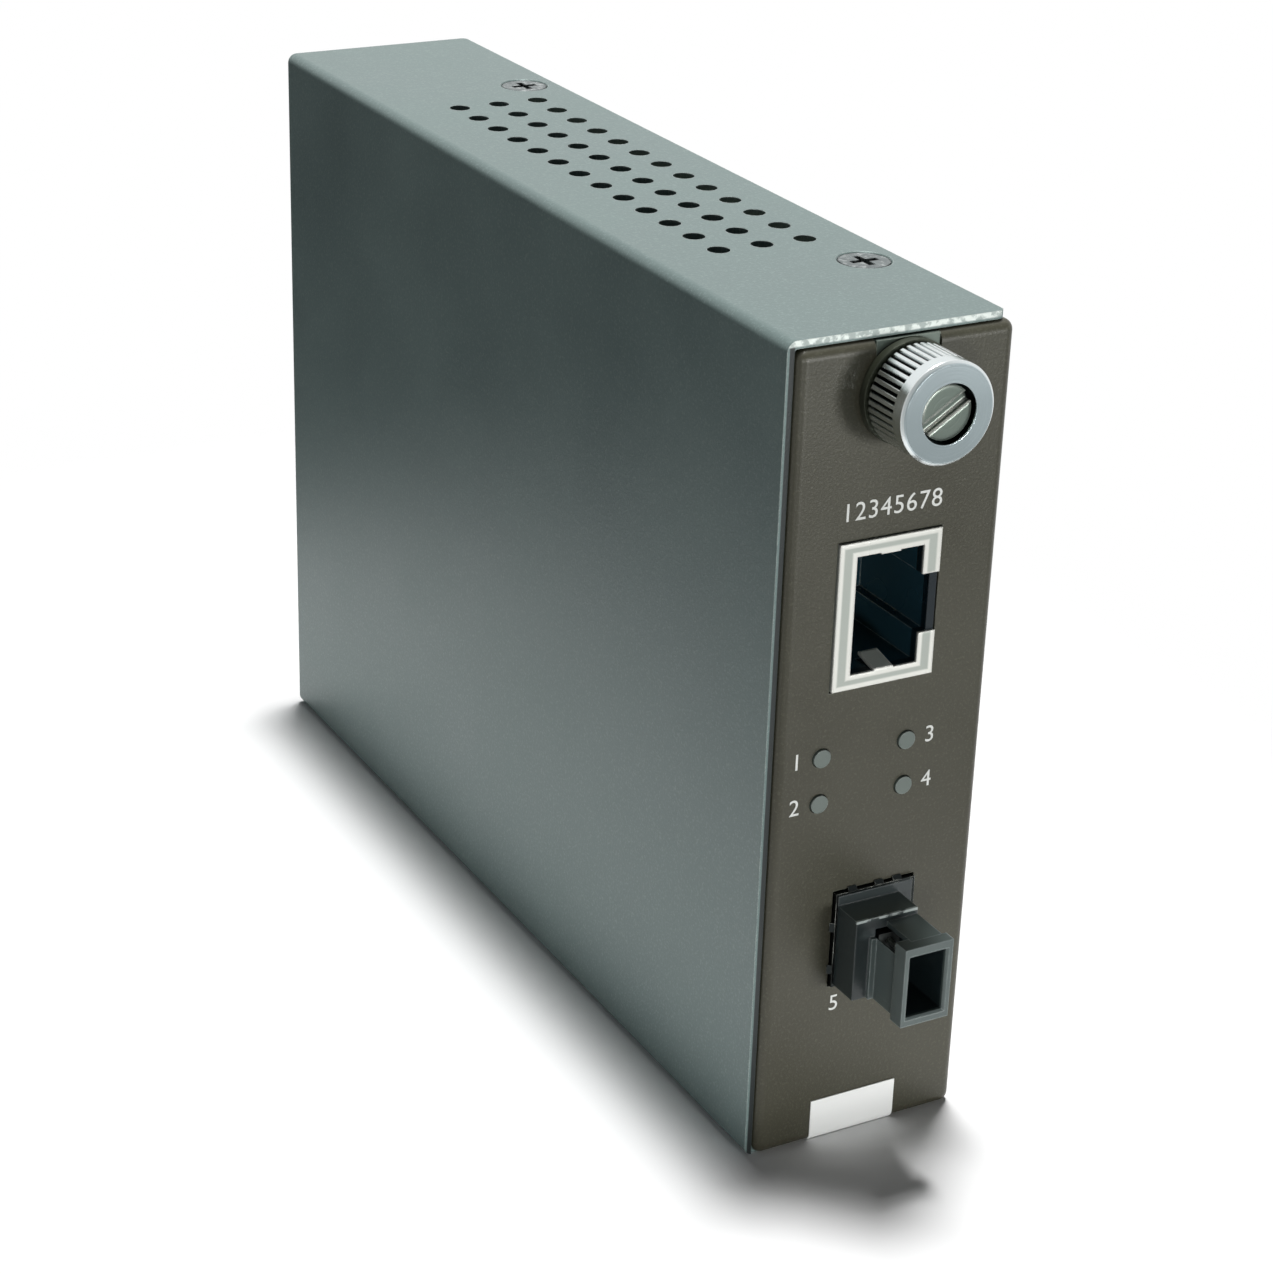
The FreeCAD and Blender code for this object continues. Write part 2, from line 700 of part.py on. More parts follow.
def make_chassis():
    """One folded piece: board-side plate, front panel, rear panel and the flanges under the cover."""
    body = new_body("chassis")
    depth = D.case_depth
    pad(body, "chassis_outside", "XZ", ZERO, depth, [(CHASSIS_LEFT, D.case_width, CHASSIS_LOW, CHASSIS_HIGH)])
    # the front panel's foot reaches down past the cover's bottom
    relief = CORNER_RELIEF
    pad(body, "panel_foot", "XZ", ZERO, relief, [(CHASSIS_LEFT, D.case_width, ZERO, CHASSIS_LOW)])
    # squares that clear the folds at the corners: across, then up
    left = (CHASSIS_LEFT - BEYOND, CHASSIS_LEFT + relief)
    right = (D.case_width - relief, D.case_width + BEYOND)
    low = (CHASSIS_LOW - BEYOND, CHASSIS_LOW + relief)
    high = (CHASSIS_HIGH - relief, CHASSIS_HIGH + BEYOND)
    # open corners at the rear, and a slot behind the foot where the plate's lower fold starts
    flange_front = depth - D.panel_flange - BEYOND
    pocket(body, "rear_left_reliefs", "XZ", flange_front, depth + BEYOND,
           [(*left, *low), (*left, *high)])
    pocket(body, "rear_right_reliefs", "XZ", depth - relief, depth + BEYOND,
           [(*right, *low), (*right, *high)])
    pocket(body, "front_low_relief", "XZ", relief, relief + D.relief_slit, [(*right, *low)])
    dress(body, "chassis_folds_outside", FOLD_OUTSIDE, [
        (2, [(CHASSIS_LEFT, ZERO), (CHASSIS_LEFT, depth), (D.case_width, ZERO), (D.case_width, depth)]),
        (0, [(ZERO, ZERO), (ZERO, CHASSIS_HIGH), (depth, CHASSIS_LOW), (depth, CHASSIS_HIGH)]),
        (1, [(CHASSIS_LEFT, ZERO), (CHASSIS_LEFT, CHASSIS_HIGH), (D.case_width, ZERO),
             (D.case_width, CHASSIS_LOW), (D.case_width, CHASSIS_HIGH)])])
    pocket(body, "front_left_relief", "XZ", FOLD_OUTSIDE, D.panel_flange + BEYOND, [(*left, *high)])
    pocket(body, "chassis_inside", "XZ", D.chassis_sheet, REAR_INNER,
           [(INNER_LEFT, INNER_RIGHT, INNER_LOW, INNER_HIGH)])
    dress(body, "chassis_folds_inside", D.fold_inside, [
        (2, [(INNER_RIGHT, D.chassis_sheet), (INNER_RIGHT, REAR_INNER)])])
    flange_x = D.case_width - D.side_flange
    pocket(body, "open_side", "XY", CHASSIS_LOW - BEYOND, CHASSIS_HIGH + BEYOND,
           [(CHASSIS_LEFT - BEYOND, flange_x, D.panel_flange, depth - D.panel_flange)])
    # slits that part the panels' own flanges from the long flanges of the plate
    slit = D.relief_slit
    strip = D.case_width - FOLD_OUTSIDE
    for name, start, sense in (("front", ZERO, 1), ("rear", depth, -1)):
        def at(distance):
            return start + distance * sense
        pocket(body, f"{name}_corner_slits", "XY", CHASSIS_LOW - BEYOND, CHASSIS_HIGH + BEYOND, [[
            (flange_x - BEYOND, at(D.panel_flange)), (strip - slit, at(D.panel_flange)),
            (strip - slit, at(FOLD_OUTSIDE)), (strip, at(FOLD_OUTSIDE)),
            (strip, at(D.panel_flange + slit)), (flange_x - BEYOND, at(D.panel_flange + slit))]])
    # the foot is a plain edge, one sheet thick, with no flange behind it
    below, beside = CHASSIS_LOW - BEYOND * 2, CHASSIS_LEFT - BEYOND
    pocket(body, "panel_foot_rear", "XZ", D.chassis_sheet, D.panel_flange + slit, [[
        (beside, below), (D.case_width + BEYOND, below), (D.case_width + BEYOND, CHASSIS_LOW),
        (strip, CHASSIS_LOW), (strip, INNER_LOW), (INNER_LEFT, INNER_LOW), (INNER_LEFT, CHASSIS_LOW),
        (beside, CHASSIS_LOW)]])
    # front panel
    room = D.window_room
    lamp_holes = [many_sided(x, z, D.light_radius + D.light_room, CAN_SIDES) for x, z in LIGHTS]
    pocket(body, "front_windows", "XZ", -BEYOND, D.chassis_sheet + BEYOND / 2, [
        (JACK_LEFT - room, JACK_RIGHT + room, JACK_LOW - room, JACK_HIGH + room),
        (FIBRE_LEFT, FIBRE_RIGHT, D.fibre_low, D.fibre_high)] + lamp_holes)
    pocket(body, "retainer_notch", "XZ", -BEYOND, D.panel_flange + BEYOND,
           [(SCREW_X - NOTCH_HALF, SCREW_X + NOTCH_HALF, SCREW_Z, CHASSIS_HIGH + BEYOND)])
    pocket(body, "retainer_notch_foot", "XZ", -BEYOND, D.chassis_sheet + BEYOND / 2,
           [(SCREW_X, SCREW_Z, NOTCH_HALF)])
    # rear panel
    pocket(body, "rear_holes", "XZ", REAR_INNER - BEYOND / 2, depth + BEYOND, [
        many_sided(SCREW_X, SCREW_Z, EXIT_RADIUS, CAN_SIDES),
        many_sided(INLET_X, D.inlet_z, D.inlet_barrel + D.window_room, CAN_SIDES)])
    # board-side plate
    spigot_flat = D.spigot_radius * math.cos(math.pi / HEXAGON) + D.seat_room
    pocket(body, "standoff_holes", "YZ", INNER_RIGHT - BEYOND / 2, D.case_width + BEYOND,
           [many_sided(y, z, spigot_flat, HEXAGON) for y, z in BOARD_HOLES])
    # holes for the cover screws, stepped to clear the foot of each head
    foot = D.cover_screw_head + D.head_room + D.cover_screw_sink - D.cover_sheet - D.seam_gap
    hole = D.screw_radius + D.thread_room
    for part, radius, deep in (("feet", foot, foot - hole), ("holes", hole, D.chassis_sheet + BEYOND / 2)):
        outlines = [many_sided(COVER_SCREW_X, y, radius, HOLE_SIDES) for y in COVER_SCREW_Y]
        pocket(body, f"top_screw_{part}", "XY", CHASSIS_HIGH - deep, CHASSIS_HIGH + BEYOND, outlines)
        pocket(body, f"low_screw_{part}", "XY", CHASSIS_LOW - BEYOND, CHASSIS_LOW + deep, outlines)


def cross(name, axis, x, y, z):
    """Two crossed blocks for a cross recess, sunk along an axis from a point on the head's face."""
    half, long_half = D.cross_width / 2, D.cross_length / 2
    deep = D.cross_depth
    if axis == "-Z":
        spans = (z - deep, z + BEYOND)
        a = box(name + "_a", x - half, x + half, y - long_half, y + long_half, *spans)
        b = box(name + "_b", x - long_half, x + long_half, y - half, y + half, *spans)
    elif axis == "Z":
        spans = (z - BEYOND, z + deep)
        a = box(name + "_a", x - half, x + half, y - long_half, y + long_half, *spans)
        b = box(name + "_b", x - long_half, x + long_half, y - half, y + half, *spans)
    else:
        spans = (x - BEYOND, x + deep)
        a = box(name + "_a", *spans, y - half, y + half, z - long_half, z + long_half)
        b = box(name + "_b", *spans, y - long_half, y + long_half, z - half, z + half)
    return [a, b]


def make_cover_screws():
    """Four countersunk screws, two through the top and two through the bottom."""
    screws = []
    slope = D.cover_screw_head - D.screw_radius
    for i, y in enumerate(COVER_SCREW_Y):
        for side, axis, face in (("top", "-Z", TOP - D.cover_screw_sink), ("low", "Z", D.cover_screw_sink)):
            name = f"cover_screw_{side}_{i}"
            head = cone(name + "_head", axis, COVER_SCREW_X, y, face, D.cover_screw_head,
                        D.screw_radius, slope)
            shank = prism(name + "_shank", axis, COVER_SCREW_X, y, face, D.screw_radius, D.cover_screw_length,
                          INNER_SIDES)
            solid = fuse(name + "_solid", [head, shank])
            screws.append(cut(name, solid, cross(name + "_cross", axis, COVER_SCREW_X, y, face)))
    group("cover_screws", screws)


# ---------------------------------------------------------------- captive jack screw

def make_retainer():
    """Block that drops into the front panel's notch and guides the screw, with a ring in front."""
    body = new_body("screw_retainer")
    neck = NOTCH_HALF - D.notch_room
    front = -D.seat_room
    pad(body, "retainer_ring", "XZ", -D.ring_thick, front, [(SCREW_X, SCREW_Z, D.ring_radius)])
    pad(body, "retainer_neck", "XZ", front, RETAINER_REAR, [(SCREW_X, SCREW_Z, neck)])
    pad(body, "retainer_upright", "XZ", D.retainer_face, RETAINER_REAR,
        [(SCREW_X - neck, SCREW_X + neck, SCREW_Z, CHASSIS_HIGH - D.notch_room)])
    pad(body, "retainer_block", "XZ", D.chassis_sheet + D.seat_room, RETAINER_REAR,
        [(SCREW_X - D.retainer_half, SCREW_X + D.retainer_half, SCREW_Z - D.retainer_half,
          INNER_HIGH - D.notch_room)])
    pocket(body, "retainer_bore", "XZ", -D.ring_thick - BEYOND, RETAINER_REAR + BEYOND,
           [(SCREW_X, SCREW_Z, D.shaft_radius + D.running_room)])


def make_knob():
    """Knurled knob with a recess that holds the slotted end of the screw."""
    body = new_body("thumb_knob")
    radius, edge = D.knob_radius, D.knob_chamfer
    bore = D.shaft_radius + D.seat_room
    floor = KNOB_FRONT + D.knob_recess_depth
    lathe = turn(body, "knob_turned", [
        (KNOB_REAR, bore), (KNOB_REAR, radius - edge), (KNOB_REAR - edge, radius),
        (KNOB_FRONT + edge, radius), (KNOB_FRONT, radius - edge), (KNOB_FRONT, D.knob_recess),
        (floor, D.knob_recess), (floor, bore)],
        "YZ", SCREW_X, ZERO, SCREW_Z)
    outer = SCREW_Z + radius
    groove = pocket(body, "knurl_groove", "XZ", KNOB_FRONT + D.knob_band, KNOB_REAR + BEYOND, [[
        (SCREW_X - D.knurl_half, outer + D.knurl_depth / 4), (SCREW_X, outer - D.knurl_depth),
        (SCREW_X + D.knurl_half, outer + D.knurl_depth / 4)]])
    pattern = body.newObject("PartDesign::PolarPattern", "knurl")
    pattern.Originals = [groove]
    pattern.Axis = (lathe.Profile[0], ["H_Axis"])
    pattern.Angle = 360
    bind(pattern, "Occurrences", D.knurl_count)
    body.Tip = pattern


def make_shaft():
    """Screw that runs through the whole case, with its clip groove and threaded tip."""
    body = new_body("jack_screw")
    shaft, head = D.shaft_radius, D.shaft_head
    start = KNOB_FRONT + D.shaft_head_sink
    floor = KNOB_FRONT + D.knob_recess_depth - D.seat_room
    groove_a = CLIP_FRONT - D.running_room
    groove_b = CLIP_FRONT + D.clip_thick + D.running_room
    tip_a = D.case_depth + D.tip_start
    tip_b = tip_a + D.tip_length
    tip = D.tip_radius
    turn(body, "screw_turned", [
        (start, ZERO), (start, head), (floor, head), (floor, shaft), (groove_a, shaft),
        (groove_a, D.clip_seat), (groove_b, D.clip_seat), (groove_b, shaft), (tip_a, shaft),
        (tip_a + (shaft - tip), tip), (tip_b - tip / 3, tip), (tip_b, tip * 2 / 3), (tip_b, ZERO)],
         "YZ", SCREW_X, ZERO, SCREW_Z)
    sketch = new_sketch(body, "driver_slot_sketch", "XZ", start - BEYOND, SCREW_X, SCREW_Z)
    sketch.AttachmentOffset = FreeCAD.Placement(V(), Rotation(V(0, 0, 1), D.shaft_slot_angle.value))
    bind(sketch, "AttachmentOffset.Rotation.Angle", D.shaft_slot_angle)
    draw_rectangle(sketch, -head - BEYOND, head + BEYOND, -D.shaft_slot / 2, D.shaft_slot / 2)
    slot = body.newObject("PartDesign::Pocket", "driver_slot")
    slot.Profile = sketch
    bind(slot, "Length", D.shaft_slot_depth + BEYOND)


def make_clip():
    """Open retaining clip in the screw's groove."""
    body = new_body("retaining_clip")
    seat = D.clip_seat + D.running_room
    pad(body, "clip_disc", "XZ", CLIP_FRONT, CLIP_FRONT + D.clip_thick,
        [(SCREW_X, SCREW_Z, D.clip_radius), (SCREW_X, SCREW_Z, seat)])
    half = D.clip_mouth / 2
    pocket(body, "clip_mouth_cut", "XZ", CLIP_FRONT - BEYOND, CLIP_FRONT + D.clip_thick + BEYOND,
           [(SCREW_X - half, SCREW_X + half, SCREW_Z - D.clip_radius - BEYOND, SCREW_Z)])


def make_spring():
    """Compression spring between the retainer and the clip."""
    body = new_body("screw_spring")
    wire = D.spring_wire
    start = RETAINER_REAR + D.seat_room + wire
    length = D.spring_length - D.seat_room * 2 - wire * 2
    sketch = new_sketch(body, "spring_wire_sketch", "YZ", SCREW_X, start, SCREW_Z)
    draw_polygon(sketch, [(-wire, D.spring_radius), (ZERO, D.spring_radius - wire),
                          (wire, D.spring_radius), (ZERO, D.spring_radius + wire)])
    coil = body.newObject("PartDesign::AdditiveHelix", "spring_coil")
    coil.Profile = sketch
    coil.ReferenceAxis = (sketch, ["H_Axis"])
    coil.Mode = "height-turns-growth"
    bind(coil, "Height", length)
    bind(coil, "Turns", D.spring_turns)


# ---------------------------------------------------------------- circuit board and its fixings

def make_board():
    """Circuit board on the plate side."""
    body = new_body("circuit_board")
    holes = [many_sided(y, z, D.board_hole, INNER_SIDES) for y, z in BOARD_HOLES]
    half = D.module_pin / 2 + D.running_room
    holes += [(y - half, y + half, z - half, z + half) for y, z in MODULE_PINS]
    pad(body, "board_plate", "YZ", BOARD_FACE, BOARD_BACK,
        [(D.board_front, BOARD_REAR, D.board_low, BOARD_HIGH)] + holes)


def make_standoffs():
    """Six-sided standoffs pressed into the plate, and the screws that hold the board to them."""
    posts, screws = [], []
    bore_deep = D.board_room - D.thread_room + BEYOND
    for i, (y, z) in enumerate(BOARD_HOLES):
        post = prism(f"standoff_{i}_post", "X", BOARD_BACK, y, z, D.standoff_radius, D.board_room, HEXAGON)
        spigot = prism(f"standoff_{i}_spigot", "X", INNER_RIGHT, y, z, D.spigot_radius,
                       D.chassis_sheet - D.seat_room, HEXAGON)
        bore = prism(f"standoff_{i}_bore", "X", BOARD_BACK - BEYOND, y, z,
                     around(D.screw_radius + D.thread_room, INNER_SIDES), bore_deep, INNER_SIDES)
        posts.append(cut(f"standoff_{i}", fuse(f"standoff_{i}_solid", [post, spigot]), [bore]))
        name = f"board_screw_{i}"
        face = BOARD_FACE - D.pan_height
        head = prism(name + "_head", "X", face, y, z, D.pan_radius, D.pan_height, INNER_SIDES)
        shank = prism(name + "_shank", "X", BOARD_FACE, y, z, D.screw_radius, D.board_screw_reach,
                      INNER_SIDES)
        solid = fuse(name + "_solid", [head, shank])
        screws.append(cut(name, solid, cross(name + "_cross", "X", face, y, z)))
    group("board_standoffs", posts)
    group("board_screws", screws)


# ---------------------------------------------------------------- copper socket

def mouth_outline(left, right, beyond):
    """Plug opening with its latch channel towards the board."""
    low = JACK_MIDDLE - D.jack_mouth_width / 2
    high = JACK_MIDDLE + D.jack_mouth_width / 2
    latch_low = JACK_MIDDLE - D.jack_latch_width / 2
    latch_high = JACK_MIDDLE + D.jack_latch_width / 2
    return [(left, low), (right, low), (right, latch_low), (beyond, latch_low), (beyond, latch_high),
            (right, latch_high), (right, high), (left, high)]


def make_copper_socket():
    """Shielded eight-way socket turned on its side: can, insert and spring contacts."""
    can = D.jack_can
    mouth_left = JACK_LEFT + D.jack_mouth_low
    mouth_right = JACK_RIGHT - D.jack_mouth_high
    shield = new_body("jack_shield")
    pad(shield, "shield_block", "XZ", JACK_FRONT, JACK_REAR, [(JACK_LEFT, JACK_RIGHT, JACK_LOW, JACK_HIGH)])
    pocket(shield, "shield_hollow", "XZ", JACK_FRONT + can, JACK_REAR - can,
           [(JACK_LEFT + can, JACK_RIGHT + BEYOND, JACK_LOW + can, JACK_HIGH - can)])
    pocket(shield, "shield_mouth", "XZ", JACK_FRONT - BEYOND, JACK_FRONT + can + BEYOND / 2,
           [mouth_outline(mouth_left, mouth_right, JACK_RIGHT + BEYOND)])
    tab_low = JACK_MIDDLE - D.jack_mouth_width / 2
    tab_high = JACK_MIDDLE + D.jack_mouth_width / 2
    tab_x = (mouth_left + mouth_right) / 2 - D.jack_tab_width / 2
    deep = JACK_FRONT + D.jack_tab_length
    drop = D.jack_tab_drop
    pad(shield, "upper_tab", "YZ", tab_x, tab_x + D.jack_tab_width, [[
        (JACK_FRONT, tab_high + can), (JACK_FRONT, tab_high - can / 2), (deep, tab_high - drop - can),
        (deep, tab_high - drop), (JACK_FRONT + can, tab_high + can / 2), (JACK_FRONT + can, tab_high + can)]])
    pad(shield, "lower_tab", "YZ", tab_x, tab_x + D.jack_tab_width, [[
        (JACK_FRONT, tab_low - can), (JACK_FRONT + can, tab_low - can), (JACK_FRONT + can, tab_low - can / 2),
        (deep, tab_low + drop), (deep, tab_low + drop + can), (JACK_FRONT, tab_low + can / 2)]])

    insert = new_body("jack_insert")
    room = D.seat_room
    front = JACK_FRONT + can + room
    pad(insert, "insert_block", "XZ", front, JACK_REAR - can - room,
        [(JACK_LEFT + can + room, JACK_RIGHT - room, JACK_LOW + can + room, JACK_HIGH - can - room)])
    pocket(insert, "insert_cavity", "XZ", front - BEYOND, D.jack_cavity,
           [mouth_outline(mouth_left - room, mouth_right, JACK_RIGHT - D.jack_latch_step)])
    relief = D.jack_tab_width / 2 + D.window_room
    middle = tab_x + D.jack_tab_width / 2
    clear = D.window_room + can
    pocket(insert, "tab_relief", "XZ", front - BEYOND, deep + D.window_room,
           [(middle - relief, middle + relief, tab_low - clear, tab_high + clear)])

    contacts = new_body("jack_contacts")
    thick = D.contact_thick
    near = mouth_left + D.window_room
    far = mouth_left + D.jack_mouth_low + D.jack_mouth_low / 2
    low = JACK_MIDDLE - D.contact_pitch * (D.contact_count - 1) / 2 - D.contact_width / 2
    bend = D.jack_tab_length
    rear = D.jack_cavity - D.window_room
    strip = pad(contacts, "contact_strip", "XY", low, low + D.contact_width, [[
        (near, bend), (near + thick, bend), (near + thick, bend + thick * 3), (far + thick, rear - thick * 4),
        (far, rear), (far - thick, rear - thick), (near, bend + thick * 4)]])
    repeat(contacts, "contact_row", strip, "Z_Axis", D.contact_pitch * (D.contact_count - 1), D.contact_count)


# ---------------------------------------------------------------- indicators

def make_indicators():
    """Four small lights in one holder, with their leads down to the board."""
    margin = D.holder_margin
    holder = new_body("light_holder")
    bores = [many_sided(x, z, D.light_radius + D.running_room, CAN_SIDES) for x, z in LIGHTS]
    pad(holder, "holder_block", "XZ", D.holder_start, D.holder_end,
        [(LIGHT_FAR - margin, BOARD_FACE - D.seat_room, LIGHT_LOW - margin, LIGHT_HIGH + margin)] + bores)
    names = ("light_copper_low", "light_copper_high", "light_left_low", "light_left_high")
    leads = []
    for name, (x, z) in zip(names, LIGHTS):
        lamp = new_body(name)
        front, rear = -D.light_proud, -D.light_proud + D.light_length
        pad(lamp, name + "_lens", "XZ", front, rear, [many_sided(x, z, D.light_radius, CAN_SIDES)])
        half, half_thick = D.lead_width / 2, D.lead_thick / 2
        for rank, side in enumerate((-1, 1), start=1):
            lead_z = z + D.lead_width * side
            name_lead = f"{name}_lead_{'low' if side < 0 else 'high'}"
            back = D.holder_end + (D.lead_gap + D.lead_width) * rank
            straight = box(name_lead + "_a", x - half, x + half, rear + D.seat_room, back,
                           lead_z - half_thick, lead_z + half_thick)
            across = box(name_lead + "_b", x - half, BOARD_FACE - D.seat_room, back - D.lead_width, back,
                         lead_z - half_thick, lead_z + half_thick)
            leads.append(fuse(name_lead, [straight, across]))
    group("light_leads", leads)


# ---------------------------------------------------------------- fibre port

def make_fibre_port():
    """Fibre transceiver: module on the board, grounding collar in the window, block and nose outside."""
    room, wall = D.window_room, D.collar_sheet
    outer = (FIBRE_LEFT + room, FIBRE_RIGHT - room, D.fibre_low + room, D.fibre_high - room)
    inner = (outer[0] + wall, outer[1] - wall, outer[2] + wall, outer[3] - wall)
    collar = new_body("ground_collar")
    pad(collar, "collar_sleeve", "XZ", -D.collar_proud, D.collar_inside, [outer, inner])
    proud, width, inset = D.collar_proud, D.finger_width, D.finger_inset
    middle_x, middle_z = (outer[0] + outer[1]) / 2, (outer[2] + outer[3]) / 2
    rear = -(room / 2)
    for i, x in enumerate((outer[0] + inset, middle_x, outer[1] - inset - width)):
        pad(collar, f"top_finger_{i}", "YZ", x, x + width, [[
            (-proud, outer[3] - wall / 2), (rear, outer[3] - wall / 2), (rear, outer[3] + room + wall)]])
    for i, z in enumerate((outer[2] + inset, middle_z + width)):
        pad(collar, f"side_finger_{i}", "XY", z, z + width, [[
            (outer[0] + wall / 2, -proud), (outer[0] + wall / 2, rear), (outer[0] - room - wall, rear)]])

    nose = new_body("fibre_nose")
    seat = D.seat_room
    left, right = inner[0] + seat, inner[1] - seat
    low, high = inner[2] + seat, inner[3] - seat
    block_right = left + D.block_width
    block_front = -D.block_proud
    front = block_front - D.nose_length
    nose_left = block_right - D.nose_width
    nose_high = low + D.nose_height
    pad(nose, "nose_root", "XZ", -D.collar_proud, D.collar_inside + D.block_proud / 2,
        [(left, right, low, high)])
    pad(nose, "nose_block", "XZ", block_front, ZERO, [(left, block_right, low, high - D.block_drop)])
    pad(nose, "nose_body", "XZ", front, ZERO, [(nose_left, block_right, low, nose_high)])
    recess = D.nose_recess
    rim = front + D.nose_rim
    recess_rear = block_front - D.nose_rim / 4
    recess_high = nose_high - D.latch_depth + D.bridge_drop
    pocket(nose, "side_recess", "XZ", rim, recess_rear, [
        (nose_left - BEYOND, nose_left + recess, low - BEYOND, recess_high),
        (block_right - recess, block_right + BEYOND, low - BEYOND, recess_high)])
    pocket(nose, "latch_window", "XZ", rim, block_front, [
        (nose_left - BEYOND, nose_left + D.latch_width, nose_high - D.latch_depth, nose_high + BEYOND)])
    pocket(nose, "bridge", "XZ", rim - D.bridge_drop, block_front, [
        (nose_left + D.latch_width - D.bridge_drop, block_right + BEYOND, nose_high - D.bridge_drop,
         nose_high + BEYOND)])
    cavity = (nose_left + D.nose_wall, block_right - D.nose_wall, low + D.nose_sill, nose_high - D.nose_head)
    rear = front + D.nose_cavity
    pocket(nose, "nose_cavity_cut", "XZ", front - BEYOND, rear, [cavity])
    dress(nose, "nose_lip", D.bridge_drop / 2, [
        (0, [(front, cavity[2]), (front, cavity[3])]),
        (2, [(cavity[0], front), (cavity[1], front)])], "Chamfer")

    ferrule_x = (cavity[0] + cavity[1]) / 2
    ferrule_z = (cavity[2] + cavity[3]) / 2
    ferrule_front = rear - D.ferrule_length
    ferrule = new_body("fibre_ferrule")
    pad(ferrule, "ferrule_block", "XZ", ferrule_front, rear - seat, [
        (ferrule_x - D.ferrule_width / 2, ferrule_x + D.ferrule_width / 2,
         ferrule_z - D.ferrule_height / 2, ferrule_z + D.ferrule_height / 2)])
    pins = []
    for side in (-1, 1):
        pins.append(prism(f"guide_pin_{'low' if side < 0 else 'high'}", "Y", ferrule_x,
                          ferrule_front - D.guide_reach, ferrule_z + D.guide_half * side, D.guide_radius,
                          D.guide_reach - seat, INNER_SIDES))
    group("guide_pins", pins)

    module = new_body("transceiver_module")
    half, rise, bevel = D.module_width / 2, D.module_height, D.module_bevel
    side = BOARD_FACE - D.head_room
    pad(module, "module_block", "XZ", MODULE_FRONT, MODULE_REAR, [[
        (side, FIBRE_MIDDLE - half), (side, FIBRE_MIDDLE + half), (side - rise + bevel, FIBRE_MIDDLE + half),
        (side - rise, FIBRE_MIDDLE + half - bevel), (side - rise, FIBRE_MIDDLE - half + bevel),
        (side - rise + bevel, FIBRE_MIDDLE - half)]])
    leads = []
    half = D.module_pin / 2
    for i, (y, z) in enumerate(MODULE_PINS):
        leads.append(box(f"module_lead_{i}", side + seat, BOARD_BACK + D.module_pin_reach,
                         y - half, y + half, z - half, z + half))
    group("transceiver_leads", leads)


# ---------------------------------------------------------------- parts on the board

def make_power_inlet():
    """Barrel inlet at the rear: body with a round barrel, centre pin and side contact."""
    body = new_body("power_inlet")
    x, z = INLET_X, D.inlet_z
    rear = REAR_INNER - D.head_room
    front = rear - D.inlet_length
    half = D.inlet_width / 2
    mouth = D.case_depth + D.inlet_proud
    pad(body, "inlet_block", "XZ", front, rear, [(x - half, BOARD_FACE - D.seat_room, z - half, z + half)])
    pad(body, "inlet_barrel_pad", "XZ", rear - D.head_room, mouth, [(x, z, D.inlet_barrel)])
    pocket(body, "inlet_bore_cut", "XZ", mouth - D.inlet_depth, mouth + BEYOND, [(x, z, D.inlet_bore)])
    pin = new_body("inlet_pin")
    start = mouth - D.inlet_depth + D.seat_room
    end = mouth - D.inlet_pin_sink
    pad(pin, "inlet_pin_post", "XZ", start, end, [many_sided(x, z, D.inlet_pin, CAN_SIDES)])


def package(name, y, z):
    """A bevelled package seated on the board's face, with its own named sizes; returns its far edges."""
    body = new_body(name)
    deep, high, rise = getattr(D, name + "_deep"), getattr(D, name + "_high"), getattr(D, name + "_rise")
    bevel = D.package_bevel
    face = BOARD_FACE - D.head_room
    pad(body, name + "_block", "XZ", y, y + deep, [[
        (face, z), (face, z + high), (face - rise + bevel, z + high), (face - rise, z + high - bevel),
        (face - rise, z + bevel), (face - rise + bevel, z)]])
    return y + deep, z + high


def lead_row(name, y, z, step, count, along):
    """A row of flat leads beside a package; along is Y or Z."""
    leads = []
    width, reach = D.chip_lead_width, D.chip_lead_reach
    low = BOARD_FACE - D.chip_lead_rise
    high = BOARD_FACE - D.seat_room
    for i in range(int(count.value)):
        shift = step * i
        if along == "Y":
            leads.append(box(f"{name}_{i}", low, high, y + shift, y + shift + width, z, z + reach))
        else:
            leads.append(box(f"{name}_{i}", low, high, y, y + reach, z + shift, z + shift + width))
    return leads


def row_inset(length, step, count):
    """Where a row of leads starts so that it stands in the middle of its side."""
    return (length - step * (count - 1) - D.chip_lead_width) / 2


def small_parts(name, y, z, count, along):
    """A row of small two-ended chip parts; along is Y or Z."""
    parts = []
    low, high = BOARD_FACE - D.small_rise, BOARD_FACE - D.seat_room
    for i in range(int(count.value)):
        at_y = y + D.small_step * i if along == "Y" else y
        at_z = z + D.small_step * i if along == "Z" else z
        parts.append(box(f"{name}_{i}", low, high, at_y, at_y + D.small_deep, at_z, at_z + D.small_high))
    return parts


